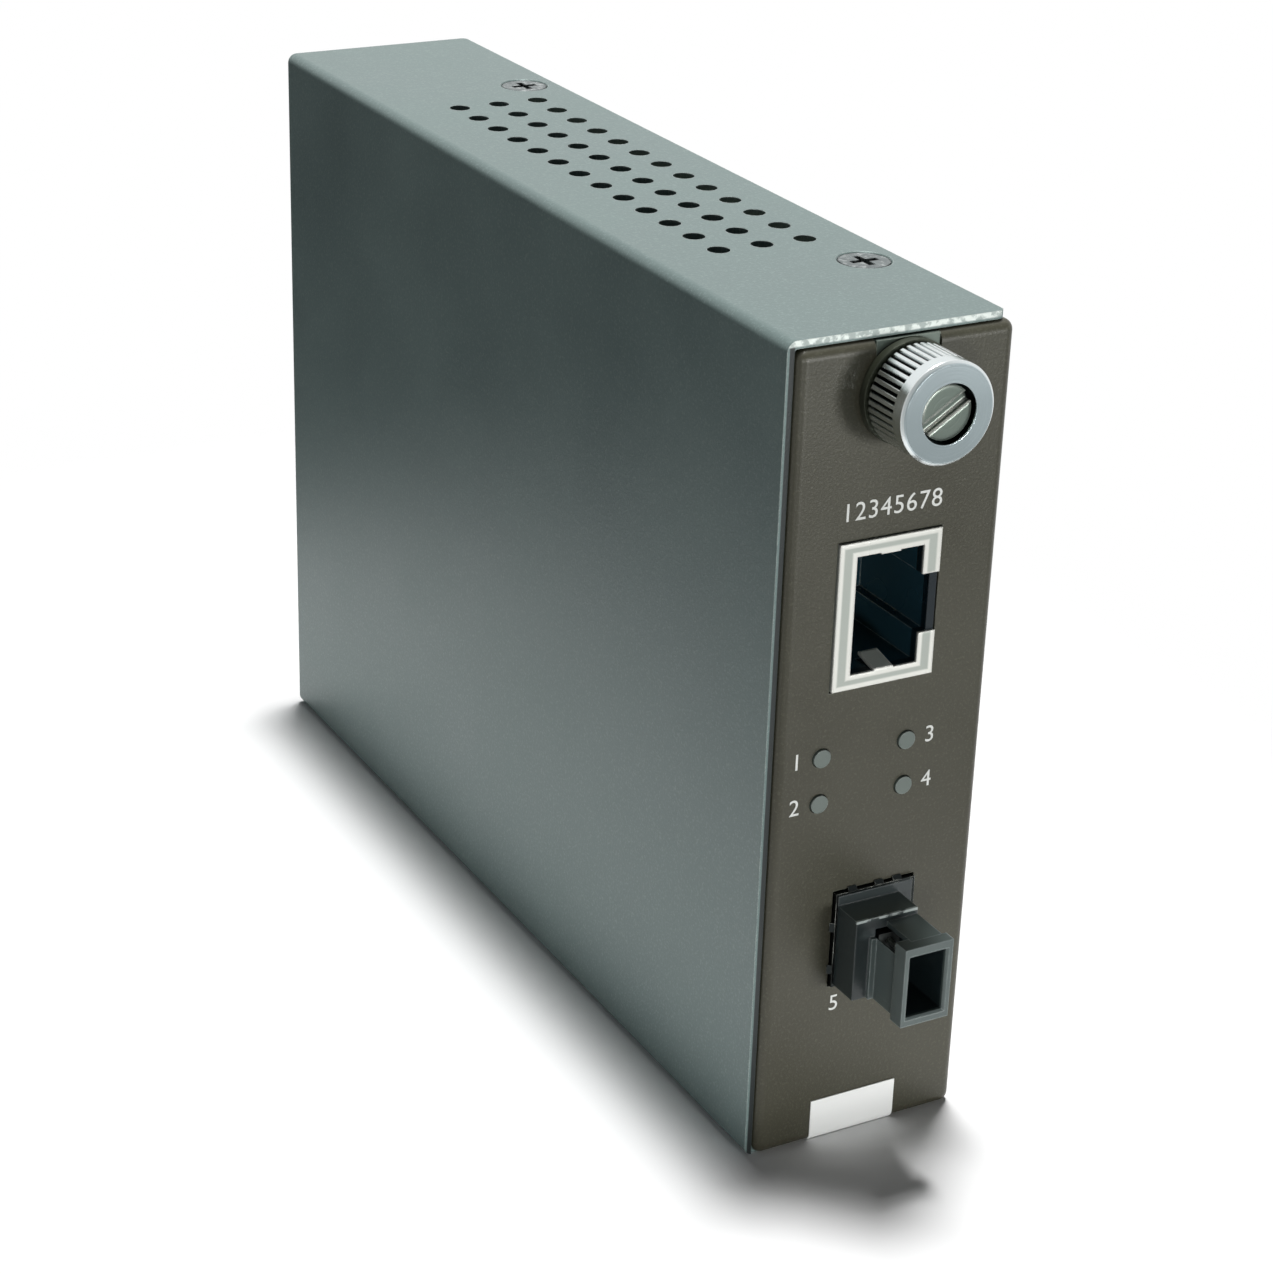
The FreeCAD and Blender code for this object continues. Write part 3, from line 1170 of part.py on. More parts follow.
def make_board_parts():
    """Magnetics, chips, crystal, regulator, inductor, capacitors and small chip parts."""
    apart = D.seat_room + D.chip_lead_reach
    y, z = D.magnetics_y, JACK_MIDDLE - D.magnetics_drop
    rear, high = package("magnetics", y, z)
    step, count = D.magnetics_lead_step, D.magnetics_leads
    row = z + row_inset(D.magnetics_high, step, count)
    group("magnetics_leads", lead_row("magnetics_lead_front", y - apart, row, step, count, "Z")
          + lead_row("magnetics_lead_rear", rear + D.seat_room, row, step, count, "Z"))

    y, z = D.converter_chip_y, JACK_MIDDLE - D.converter_chip_drop
    rear, high = package("converter_chip", y, z)
    step, count = D.chip_lead_step, D.chip_leads
    row_y = y + row_inset(D.converter_chip_deep, step, count)
    row_z = z + row_inset(D.converter_chip_high, step, count)
    group("converter_chip_leads", lead_row("chip_lead_front", y - apart, row_z, step, count, "Z")
          + lead_row("chip_lead_rear", rear + D.seat_room, row_z, step, count, "Z")
          + lead_row("chip_lead_low", row_y, z - apart, step, count, "Y")
          + lead_row("chip_lead_high", row_y, high + D.seat_room, step, count, "Y"))

    package("memory_chip", D.memory_chip_y, JACK_MIDDLE - D.memory_chip_drop)
    package("crystal", D.crystal_y, JACK_MIDDLE - D.crystal_drop)
    package("inductor", BOARD_REAR - D.inductor_from_rear, D.inductor_z)
    package("regulator", BOARD_REAR - D.regulator_from_rear, D.regulator_z)
    cans = []
    for name, back, z in (("a", D.can_a_from_rear, D.can_a_z), ("b", D.can_b_from_rear, D.can_b_z)):
        cans.append(prism(f"capacitor_{name}", "X", BOARD_FACE - D.head_room - D.can_rise,
                          BOARD_REAR - back, z, D.can_radius, D.can_rise, CAN_SIDES))
    group("storage_capacitors", cans)
    parts = small_parts("low_part", D.low_row_y, D.low_row_z, D.low_row_count, "Y")
    for name, y, drop, count in (
            ("front_part", D.front_row_y, D.front_row_drop, D.front_row_count),
            ("middle_part", D.middle_row_y, D.middle_row_drop, D.middle_row_count),
            ("upper_part", D.upper_row_y, D.upper_row_drop, D.upper_row_count)):
        parts += small_parts(name, y, JACK_MIDDLE - drop, count, "Z")
    group("chip_parts", parts)


# ---------------------------------------------------------------- label

def make_label():
    """Plain label at the foot of the front panel, wrapped over its rounded lower edge."""
    body = new_body("front_label")
    left, right = D.label_x, D.label_x + D.label_width
    near = D.seat_room
    far = D.seat_room + D.label_thick
    pad(body, "label_flat", "XZ", -far, -near, [(left, right, FOLD_OUTSIDE, D.label_height)])
    sketch = new_sketch(body, "label_wrap_sketch", "XY", FOLD_OUTSIDE, ZERO, FOLD_OUTSIDE)
    draw_rectangle(sketch, left, right, -FOLD_OUTSIDE - far, -FOLD_OUTSIDE - near)
    wrap = body.newObject("PartDesign::Revolution", "label_wrap_turned")
    wrap.Profile = sketch
    wrap.ReferenceAxis = (sketch, ["H_Axis"])
    bind(wrap, "Angle", D.label_wrap)


make_cover()
make_chassis()
make_cover_screws()
make_retainer()
make_knob()
make_shaft()
make_clip()
make_spring()
make_board()
make_standoffs()
make_copper_socket()
make_indicators()
make_fibre_port()
make_power_inlet()
make_board_parts()
make_label()


# ---------------------------------------------------------------- checks and export

def check():
    """Stop if any object failed, any cut missed or any piece is not valid."""
    for obj in doc.Objects:
        if any(state in ("Invalid", "Error") for state in obj.State):
            raise RuntimeError(f"{obj.Name} failed: {obj.State}")
        if obj.TypeId in ("PartDesign::Pocket", "PartDesign::Groove"):
            base = obj.BaseFeature
            if obj.Shape.Volume > base.Shape.Volume - 1e-4:
                raise RuntimeError(f"{obj.Name} cuts nothing")
        if obj.TypeId in ("PartDesign::Pad", "PartDesign::Revolution") and obj.BaseFeature:
            if obj.Shape.Volume < obj.BaseFeature.Shape.Volume + 1e-4:
                raise RuntimeError(f"{obj.Name} adds nothing")
    for name, obj in NODES:
        shape = obj.Shape
        if shape.isNull() or not shape.isValid() or not shape.Solids:
            raise RuntimeError(f"{name} is not a valid solid")


doc.recompute()
check()
os.makedirs("parts", exist_ok=True)
for name, obj in NODES:
    obj.Shape.exportStep(f"parts/{name}.step")
print(len(NODES), "pieces written")
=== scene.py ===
import json
import math

import bmesh
import bpy
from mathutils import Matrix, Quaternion, Vector


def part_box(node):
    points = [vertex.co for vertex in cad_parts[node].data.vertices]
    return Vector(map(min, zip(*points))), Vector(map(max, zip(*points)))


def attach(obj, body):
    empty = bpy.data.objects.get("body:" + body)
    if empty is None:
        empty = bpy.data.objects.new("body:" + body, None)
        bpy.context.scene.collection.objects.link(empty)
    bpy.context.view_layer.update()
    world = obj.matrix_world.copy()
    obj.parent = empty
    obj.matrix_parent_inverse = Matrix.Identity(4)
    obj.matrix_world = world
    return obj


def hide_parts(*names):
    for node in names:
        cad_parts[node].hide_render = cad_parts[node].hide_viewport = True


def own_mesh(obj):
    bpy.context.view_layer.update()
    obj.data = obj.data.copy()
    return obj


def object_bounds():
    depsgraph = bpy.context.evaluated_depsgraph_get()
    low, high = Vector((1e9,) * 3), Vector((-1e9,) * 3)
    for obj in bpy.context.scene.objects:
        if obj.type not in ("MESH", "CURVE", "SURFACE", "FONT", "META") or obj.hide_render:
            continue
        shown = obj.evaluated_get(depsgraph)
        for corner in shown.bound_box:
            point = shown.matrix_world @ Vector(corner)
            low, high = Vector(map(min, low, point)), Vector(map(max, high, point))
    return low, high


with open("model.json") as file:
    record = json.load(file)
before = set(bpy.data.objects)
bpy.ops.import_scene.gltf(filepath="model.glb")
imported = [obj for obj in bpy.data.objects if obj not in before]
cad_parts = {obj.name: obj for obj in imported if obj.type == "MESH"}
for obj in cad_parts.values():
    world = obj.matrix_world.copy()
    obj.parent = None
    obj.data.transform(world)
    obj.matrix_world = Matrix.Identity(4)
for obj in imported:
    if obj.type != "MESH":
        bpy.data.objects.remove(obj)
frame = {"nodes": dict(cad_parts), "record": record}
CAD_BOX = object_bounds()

MM = 0.001
WHITE = (1.0, 1.0, 1.0, 1.0)


# ---------------------------------------------------------------- shader node helpers

def new_group(name, inputs, outputs):
    """An empty shader node group with named sockets; returns it, its input node and its output node."""
    tree = bpy.data.node_groups.new(name, "ShaderNodeTree")
    for label, kind, value in inputs:
        socket = tree.interface.new_socket(label, in_out="INPUT", socket_type="NodeSocket" + kind)
        if value is not None:
            socket.default_value = value
    for label, kind in outputs:
        tree.interface.new_socket(label, in_out="OUTPUT", socket_type="NodeSocket" + kind)
    return tree, tree.nodes.new("NodeGroupInput"), tree.nodes.new("NodeGroupOutput")


def feed(tree, target, value):
    """Set a socket to a value, or link it from another socket."""
    if isinstance(value, bpy.types.NodeSocket):
        tree.links.new(value, target)
    elif value is not None:
        target.default_value = value


def maths(tree, operation, first, second=None, third=None, clamp=False):
    """One Math node; returns its output."""
    made = tree.nodes.new("ShaderNodeMath")
    made.operation = operation
    made.use_clamp = clamp
    for socket, value in zip(made.inputs, (first, second, third)):
        feed(tree, socket, value)
    return made.outputs[0]


def vector_maths(tree, operation, first, second=None, output="Vector"):
    """One Vector Math node; returns the named output."""
    made = tree.nodes.new("ShaderNodeVectorMath")
    made.operation = operation
    feed(tree, made.inputs[0], first)
    feed(tree, made.inputs[1], second)
    return made.outputs[output]


def product(tree, *masks):
    """The product of several masks."""
    result = masks[0]
    for mask in masks[1:]:
        result = maths(tree, "MULTIPLY", result, mask)
    return result


def ramp(tree, value, start, end):
    """0 up to start and 1 from end on, with a smooth way between them; start may lie above end."""
    made = tree.nodes.new("ShaderNodeMapRange")
    made.interpolation_type = "SMOOTHSTEP"
    feed(tree, made.inputs["Value"], value)
    feed(tree, made.inputs["From Min"], start)
    feed(tree, made.inputs["From Max"], end)
    return made.outputs["Result"]


def blend(tree, share, first, second):
    """Mix two colours; returns the colour."""
    made = tree.nodes.new("ShaderNodeMix")
    made.data_type = "RGBA"
    feed(tree, made.inputs["Factor"], share)
    feed(tree, made.inputs["A"], first)
    feed(tree, made.inputs["B"], second)
    return made.outputs["Result"]


def noise(tree, vector, scale, detail=2.0, rough=0.5):
    """Noise value at a scale."""
    made = tree.nodes.new("ShaderNodeTexNoise")
    feed(tree, made.inputs["Vector"], vector)
    feed(tree, made.inputs["Scale"], scale)
    made.inputs["Detail"].default_value = detail
    made.inputs["Roughness"].default_value = rough
    return made.outputs["Fac"]


def object_place(tree):
    """The place on the piece, in metres."""
    return tree.nodes.new("ShaderNodeTexCoord").outputs["Object"]


def split_place(tree, vector):
    """The X, Y and Z of a vector."""
    made = tree.nodes.new("ShaderNodeSeparateXYZ")
    feed(tree, made.inputs["Vector"], vector)
    return made.outputs


def distance_from_axis(tree, axis_point):
    """How far the place lies from a line along Y, and its offset from the point the line runs through."""
    offset = vector_maths(tree, "SUBTRACT", object_place(tree), axis_point)
    flat = vector_maths(tree, "MULTIPLY", offset, (1.0, 0.0, 1.0))
    return vector_maths(tree, "LENGTH", flat, output="Value"), offset


# ---------------------------------------------------------------- shared effects

SAMPLES = 4
EDGE_TURN = (0.01, 0.12)
EDGE_PATCH_SCALE = 900.0
EDGE_PATCHES = (0.35, 0.65)


def group_edges():
    """Rounded normal near edges, and a broken mask of the edges, which finishes tint with wear and painted
    highlights, some with painted edge shade.
    """
    tree, given, out = new_group("edge_wear_and_painted_light", [("Width", "Float", 0.0002), ("Break Up", "Float", 0.5)],
                                 [("Mask", "Float"), ("Normal", "Vector")])
    bevel = tree.nodes.new("ShaderNodeBevel")
    bevel.samples = SAMPLES
    feed(tree, bevel.inputs["Radius"], given.outputs["Width"])
    flat = tree.nodes.new("ShaderNodeNewGeometry").outputs["Normal"]
    turned = vector_maths(tree, "DOT_PRODUCT", bevel.outputs["Normal"], flat, output="Value")
    edge = ramp(tree, maths(tree, "SUBTRACT", 1.0, turned), *EDGE_TURN)
    patches = ramp(tree, noise(tree, object_place(tree), EDGE_PATCH_SCALE, detail=3.0), *EDGE_PATCHES)
    kept = maths(tree, "SUBTRACT", 1.0, maths(tree, "MULTIPLY", patches, given.outputs["Break Up"]))
    feed(tree, out.inputs["Mask"], maths(tree, "MULTIPLY", edge, kept, clamp=True))
    feed(tree, out.inputs["Normal"], bevel.outputs["Normal"])
    return tree


FINER_GRAIN = 2.7
COARSE_SHARE = 0.7
GRAIN_PEAKS = (0.5, 0.68)


def group_grain():
    """Fine grain: a height and a mask of its peaks."""
    tree, given, out = new_group("grain", [("Scale", "Float", 2500.0)],
                                 [("Height", "Float"), ("Peaks", "Float")])
    place = object_place(tree)
    coarse = noise(tree, place, given.outputs["Scale"], rough=0.6)
    fine = noise(tree, place, maths(tree, "MULTIPLY", given.outputs["Scale"], FINER_GRAIN), detail=1.0)
    height = maths(tree, "ADD", maths(tree, "MULTIPLY", coarse, COARSE_SHARE),
                   maths(tree, "MULTIPLY", fine, 1.0 - COARSE_SHARE))
    feed(tree, out.inputs["Height"], height)
    feed(tree, out.inputs["Peaks"], ramp(tree, height, *GRAIN_PEAKS))
    return tree


def group_drift():
    """Slow changes of tone over a surface, from -1 to 1."""
    tree, given, out = new_group("drift", [("Scale", "Float", 60.0)], [("Value", "Float")])
    value = noise(tree, object_place(tree), given.outputs["Scale"], detail=3.0, rough=0.55)
    feed(tree, out.inputs["Value"], maths(tree, "MULTIPLY_ADD", value, 2.0, -1.0))
    return tree


GROOVE_SHADE = (0.15, 0.8)


def group_dirt():
    """Mask of painted shade in the narrow grooves and inside corners, from how closed in they are."""
    tree, given, out = new_group("painted_groove_shade", [("Reach", "Float", 0.0005)], [("Mask", "Float")])
    hollow = tree.nodes.new("ShaderNodeAmbientOcclusion")
    hollow.samples = SAMPLES
    hollow.only_local = True
    feed(tree, hollow.inputs["Distance"], given.outputs["Reach"])
    closed = maths(tree, "SUBTRACT", 1.0, hollow.outputs["AO"])
    feed(tree, out.inputs["Mask"], ramp(tree, closed, *GROOVE_SHADE))
    return tree


def group_lathe():
    """Fine rings left by turning about a line along Y through a given point."""
    tree, given, out = new_group("lathe_rings", [("Axis Point", "Vector", None), ("Scale", "Float", 6000.0)],
                                 [("Height", "Float")])
    radial, offset = distance_from_axis(tree, given.outputs["Axis Point"])
    join = tree.nodes.new("ShaderNodeCombineXYZ")
    feed(tree, join.inputs["X"], radial)
    feed(tree, join.inputs["Y"], split_place(tree, offset)["Y"])
    feed(tree, out.inputs["Height"], noise(tree, join.outputs["Vector"], given.outputs["Scale"]))
    return tree


def group_below_rim():
    """Mask of what lies deeper than a turned rim: 0 at the rim's radius, 1 at the given depth under it."""
    tree, given, out = new_group(
        "below_rim", [("Axis Point", "Vector", None), ("Rim", "Float", 0.005), ("Depth", "Float", 0.0002)],
        [("Mask", "Float")])
    radial, _ = distance_from_axis(tree, given.outputs["Axis Point"])
    under = maths(tree, "SUBTRACT", given.outputs["Rim"], radial)
    feed(tree, out.inputs["Mask"], maths(tree, "DIVIDE", under, given.outputs["Depth"], clamp=True))
    return tree


GROUPS = {"edges": group_edges(), "grain": group_grain(), "drift": group_drift(), "shade_in_grooves": group_dirt(),
          "lathe": group_lathe(), "rim": group_below_rim()}


# ---------------------------------------------------------------- materials

def colour(red, green, blue):
    """A plain colour written as 0 to 255 on a screen."""
    parts = []
    for part in (red, green, blue):
        part /= 255
        parts.append(part / 12.92 if part <= 0.04045 else ((part + 0.055) / 1.055) ** 2.4)
    return (*parts, 1.0)


def place_group(tree, key, **values):
    """Put a shared effect into a material with its own values."""
    made = tree.nodes.new("ShaderNodeGroup")
    made.node_tree = GROUPS[key]
    for label, value in values.items():
        feed(tree, made.inputs[label.replace("_", " ")], value)
    return made.outputs


DRIFT_CONTRAST = 0.9


def finish_of(name, base, other, rough, metal=0.0, rough_spread=0.08, drift_scale=60.0, grain_scale=2500.0,
              grain_depth=0.00002, peaks=None, peak_share=0.4, edge=None, edge_width=0.0002, edge_break=0.5,
              shade_in_grooves=None, groove_shade_reach=0.0005, lathe_axis=None, lathe_depth=0.0, coat=0.0, extra=None):
    """One procedural material from the shared effects.

    base and other are the two tones that it drifts between; peaks tints the grain's peaks, which on the black
    screws stand for painted glints; edge tints the edges with wear and painted highlights, on some finishes
    with painted edge shade;
    the groove tone paints shade into grooves and inside corners. lathe_axis gives it rings turned about a
    line along Y through that point.
    extra is a function that changes the tone last.
    """
    material = bpy.data.materials.new(name)
    material.use_nodes = True
    tree = material.node_tree
    shader = tree.nodes["Principled BSDF"]
    drift = place_group(tree, "drift", Scale=drift_scale)["Value"]
    share = maths(tree, "MULTIPLY_ADD", drift, DRIFT_CONTRAST, 0.5, clamp=True)
    tone = blend(tree, share, base, other)
    grain = place_group(tree, "grain", Scale=grain_scale)
    # grain peaks; on the black screws they stand for painted glints
    if peaks:
        tone = blend(tree, maths(tree, "MULTIPLY", grain["Peaks"], peak_share), tone, peaks)
    # painted shade in the grooves and inside corners
    if shade_in_grooves:
        tone = blend(tree, place_group(tree, "shade_in_grooves", Reach=groove_shade_reach)["Mask"], tone, shade_in_grooves)
    edges = place_group(tree, "edges", Width=edge_width, Break_Up=edge_break)
    # worn edges and painted edge highlights; on some finishes painted edge shade
    if edge:
        tone = blend(tree, edges["Mask"], tone, edge)
    if extra:
        tone = extra(tree, tone)
    feed(tree, shader.inputs["Base Color"], tone)
    uneven = maths(tree, "MULTIPLY_ADD", drift, rough_spread, rough, clamp=True)
    feed(tree, shader.inputs["Roughness"], uneven)
    bump = tree.nodes.new("ShaderNodeBump")
    bump.inputs["Distance"].default_value = grain_depth
    feed(tree, bump.inputs["Height"], grain["Height"])
    feed(tree, bump.inputs["Normal"], edges["Normal"])
    if lathe_axis:
        rings = tree.nodes.new("ShaderNodeBump")
        rings.inputs["Distance"].default_value = lathe_depth
        feed(tree, rings.inputs["Height"], place_group(tree, "lathe", Axis_Point=lathe_axis)["Height"])
        feed(tree, rings.inputs["Normal"], bump.outputs["Normal"])
        bump = rings
    feed(tree, shader.inputs["Normal"], bump.outputs["Normal"])
    shader.inputs["Metallic"].default_value = metal
    shader.inputs["Coat Weight"].default_value = coat
    return material


TRACK_SCALE = 260.0
TRACK_WIDTH = 0.03
TRACK_SHARE = 0.5
TRACK_TONE = colour(70, 150, 90)


def board_tracks(tree, tone):
    """Copper tracks and pads that show lighter under the solder mask."""
    brick = tree.nodes.new("ShaderNodeTexBrick")
    turned = tree.nodes.new("ShaderNodeMapping")
    turned.inputs["Rotation"].default_value = (0.0, math.radians(90), 0.0)
    feed(tree, turned.inputs["Vector"], object_place(tree))
    feed(tree, brick.inputs["Vector"], turned.outputs["Vector"])
    brick.inputs["Scale"].default_value = TRACK_SCALE
    brick.inputs["Mortar Size"].default_value = TRACK_WIDTH
    return blend(tree, maths(tree, "MULTIPLY", brick.outputs["Fac"], TRACK_SHARE), tone, TRACK_TONE)


def middle(node):
    """The middle of a node's box."""
    low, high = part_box(node)
    return (low + high) / 2


def mask_beyond(tree, value, limit):
    """1 where a value is above a limit."""
    return maths(tree, "GREATER_THAN", value, limit)


def mask_before(tree, value, limit):
    """1 where a value is below a limit."""
    return maths(tree, "LESS_THAN", value, limit)


SCREW_AXIS = tuple(middle("jack_screw"))
KNOB_LOW, KNOB_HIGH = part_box("thumb_knob")
KNOB_RADIUS = (KNOB_HIGH.x - KNOB_LOW.x) / 2
KNOB_FACE_REAR = KNOB_LOW.y + 0.12 * MM
# painted shade on the knob's face, the knurl's grooves and the bore
KNOB_FACE_SHADE = colour(192, 204, 207)
KNURL_FRONT = KNOB_LOW.y + 1.65 * MM
KNURL_RIM = KNOB_RADIUS - 0.06 * MM
KNURL_DEPTH = 0.22 * MM
KNURL_GROOVE_SHADE = colour(22, 28, 28)
KNOB_BORE_RIM = KNOB_RADIUS * 0.66
KNOB_BORE_DEPTH = 0.2 * MM
KNOB_BORE_SHADE = colour(52, 62, 60)


def knob_zones(tree, tone):
    """Painted shade on the knob: a greyer turned front face, a dark bore, and dark bottoms of the grooves
    behind the plain front band.
    """
    along = split_place(tree, object_place(tree))["Y"]
    behind = mask_beyond(tree, along, KNOB_FACE_REAR)
    tone = blend(tree, behind, KNOB_FACE_SHADE, tone)
    deep = place_group(tree, "rim", Axis_Point=SCREW_AXIS, Rim=KNURL_RIM, Depth=KNURL_DEPTH)["Mask"]
    knurled = mask_beyond(tree, along, KNURL_FRONT)
    tone = blend(tree, product(tree, deep, knurled), tone, KNURL_GROOVE_SHADE)
    bore = place_group(tree, "rim", Axis_Point=SCREW_AXIS, Rim=KNOB_BORE_RIM, Depth=KNOB_BORE_DEPTH)["Mask"]
    return blend(tree, product(tree, bore, behind), tone, KNOB_BORE_SHADE)


PANEL_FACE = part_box("chassis")[0].y
# painted shade on the ring behind the knob
RING_SHADE = colour(58, 62, 50)


def retainer_ring(tree, tone):
    """Painted shade on the ring in front of the panel, which sits behind the knob; the block in the notch
    stays lighter.
    """
    along = split_place(tree, object_place(tree))["Y"]
    return blend(tree, mask_before(tree, along, PANEL_FACE), tone, RING_SHADE)


FACE_SKIN = 0.06 * MM
COVER_LOW, COVER_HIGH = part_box("cover")
# the top line is part wear and part painted highlight; the core is painted shade
TOP_LINE = (COVER_HIGH.z - 0.7 * MM, COVER_HIGH.z - 0.45 * MM)
TOP_LINE_PATCH_SCALE = 1300.0
TOP_LINE_PATCHES = (0.42, 0.58)
TOP_LINE_LEAST = 0.4
TOP_LINE_WEAR_AND_HIGHLIGHT = colour(238, 246, 240)
CORE_STARTS = (0.2 * MM, 0.34 * MM)
CORE_ENDS = (0.9 * MM, 0.74 * MM)
EDGE_CORE_SHADE = colour(34, 40, 40)


def front_sheet_edge(tree, tone):
    """The cover's front sheet edges: a broken bright line along the top, part wear and part painted
    highlight, and painted shade in the middle of the upright one.
    """
    place = object_place(tree)
    x, y, z = split_place(tree, place)
    facing = mask_before(tree, y, COVER_LOW.y + FACE_SKIN)
    high = ramp(tree, z, *TOP_LINE)
    patches = ramp(tree, noise(tree, place, TOP_LINE_PATCH_SCALE, detail=3.0), *TOP_LINE_PATCHES)
    shown = maths(tree, "MULTIPLY_ADD", patches, 1.0 - TOP_LINE_LEAST, TOP_LINE_LEAST)
    bright = product(tree, facing, high, shown)
    across = maths(tree, "SUBTRACT", x, COVER_LOW.x)
    core = product(tree, ramp(tree, across, *CORE_STARTS), ramp(tree, across, *CORE_ENDS))
    dark = product(tree, facing, core, maths(tree, "SUBTRACT", 1.0, high))
    tone = blend(tree, dark, tone, EDGE_CORE_SHADE)
    return blend(tree, bright, tone, TOP_LINE_WEAR_AND_HIGHLIGHT)


PORT_LOW, PORT_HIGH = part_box("fibre_nose")
BLOCK_FRONT = PORT_LOW.y + 6.45 * MM
BLOCK_TOP = PORT_HIGH.z - 1.15 * MM
ROOT_FRONT = PORT_LOW.y + 9.95 * MM
# painted shade on the block and in the slot, a painted highlight along the block's lip
BLOCK_SHARE = 0.75
BLOCK_SHADE = colour(16, 24, 28)
BLOCK_LINE_REAR = PORT_LOW.y + 6.75 * MM
BLOCK_LINE_LOW = PORT_HIGH.z - 1.4 * MM
BLOCK_LINE_PATCH_SCALE = 1500.0
BLOCK_LINE_PATCHES = (0.38, 0.54)
BLOCK_LINE_HIGHLIGHT = colour(176, 186, 182)
FIBRE_OPENING = next(opening for opening in frame["record"]["physics"]["openings"]
                     if opening["name"] == "fibre_port")
SLOT_LOW, SLOT_HIGH = (Vector(corner) for corner in FIBRE_OPENING["box_m"])
SLOT_INSIDE = SLOT_LOW.y + 2.1 * MM
SLOT_MARGIN = 0.12 * MM
SLOT_SHARE = 0.85
SLOT_SHADE = colour(12, 26, 32)


def port_zones(tree, tone):
    """Painted light on the port: shade on the block's sides and root, a broken painted highlight along its
    front top edge, and painted shade inside the nose's slot.
    """
    place = object_place(tree)
    x, y, z = split_place(tree, place)
    block = mask_beyond(tree, y, BLOCK_FRONT)
    root = mask_beyond(tree, y, ROOT_FRONT)
    sides = maths(tree, "MAXIMUM", root, mask_before(tree, z, BLOCK_TOP))
    tone = blend(tree, product(tree, block, sides, BLOCK_SHARE), tone, BLOCK_SHADE)
    line = product(tree, block, mask_before(tree, y, BLOCK_LINE_REAR), mask_beyond(tree, z, BLOCK_LINE_LOW))
    broken = ramp(tree, noise(tree, place, BLOCK_LINE_PATCH_SCALE, detail=3.0), *BLOCK_LINE_PATCHES)
    tone = blend(tree, product(tree, line, broken), tone, BLOCK_LINE_HIGHLIGHT)
    inside = mask_beyond(tree, y, SLOT_INSIDE)
    for along, low, high in ((x, SLOT_LOW.x, SLOT_HIGH.x), (z, SLOT_LOW.z, SLOT_HIGH.z)):
        inside = product(tree, inside, mask_beyond(tree, along, low - SLOT_MARGIN),
                         mask_before(tree, along, high + SLOT_MARGIN))
    return blend(tree, product(tree, inside, SLOT_SHARE), tone, SLOT_SHADE)


SHIELD_LOW, SHIELD_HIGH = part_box("jack_shield")
SHIELD_MIDDLE = (SHIELD_LOW + SHIELD_HIGH) / 2
SHIELD_HALF = (SHIELD_HIGH - SHIELD_LOW) / 2
SHIELD_MOUTH_INSET = (1.92 * MM, 1.5 * MM)
RIM_LINE = (0.62 * MM, 0.36 * MM)
RIM_HIGHLIGHT = colour(250, 250, 242)


def shield_rim(tree, tone):
    """Painted highlights: bright lines where the socket's front rim rolls over, round its outside and round
    its mouth.
    """
    x, y, z = split_place(tree, object_place(tree))
    facing = mask_before(tree, y, SHIELD_LOW.y + FACE_SKIN)
    from_x = maths(tree, "ABSOLUTE", maths(tree, "SUBTRACT", x, SHIELD_MIDDLE.x))
    from_z = maths(tree, "ABSOLUTE", maths(tree, "SUBTRACT", z, SHIELD_MIDDLE.z))
    lines = []
    for inset_x, inset_z, side in ((0.0, 0.0, -1.0), (*SHIELD_MOUTH_INSET, 1.0)):
        past = maths(tree, "MAXIMUM", maths(tree, "SUBTRACT", from_x, SHIELD_HALF.x - inset_x),
                     maths(tree, "SUBTRACT", from_z, SHIELD_HALF.z - inset_z))
        lines.append(ramp(tree, maths(tree, "MULTIPLY", past, side), *RIM_LINE))
    rim = product(tree, facing, maths(tree, "MAXIMUM", *lines))
    return blend(tree, rim, tone, RIM_HIGHLIGHT)


SOCKET_FRONT_REAR = SHIELD_LOW.y + 1.2 * MM
SOCKET_FRONT_SHADE = colour(10, 24, 31)


def socket_front(tree, tone):
    """Painted shade: the socket's insert is darker at its front, where the latch goes in."""
    along = split_place(tree, object_place(tree))["Y"]
    return blend(tree, mask_before(tree, along, SOCKET_FRONT_REAR), tone, SOCKET_FRONT_SHADE)


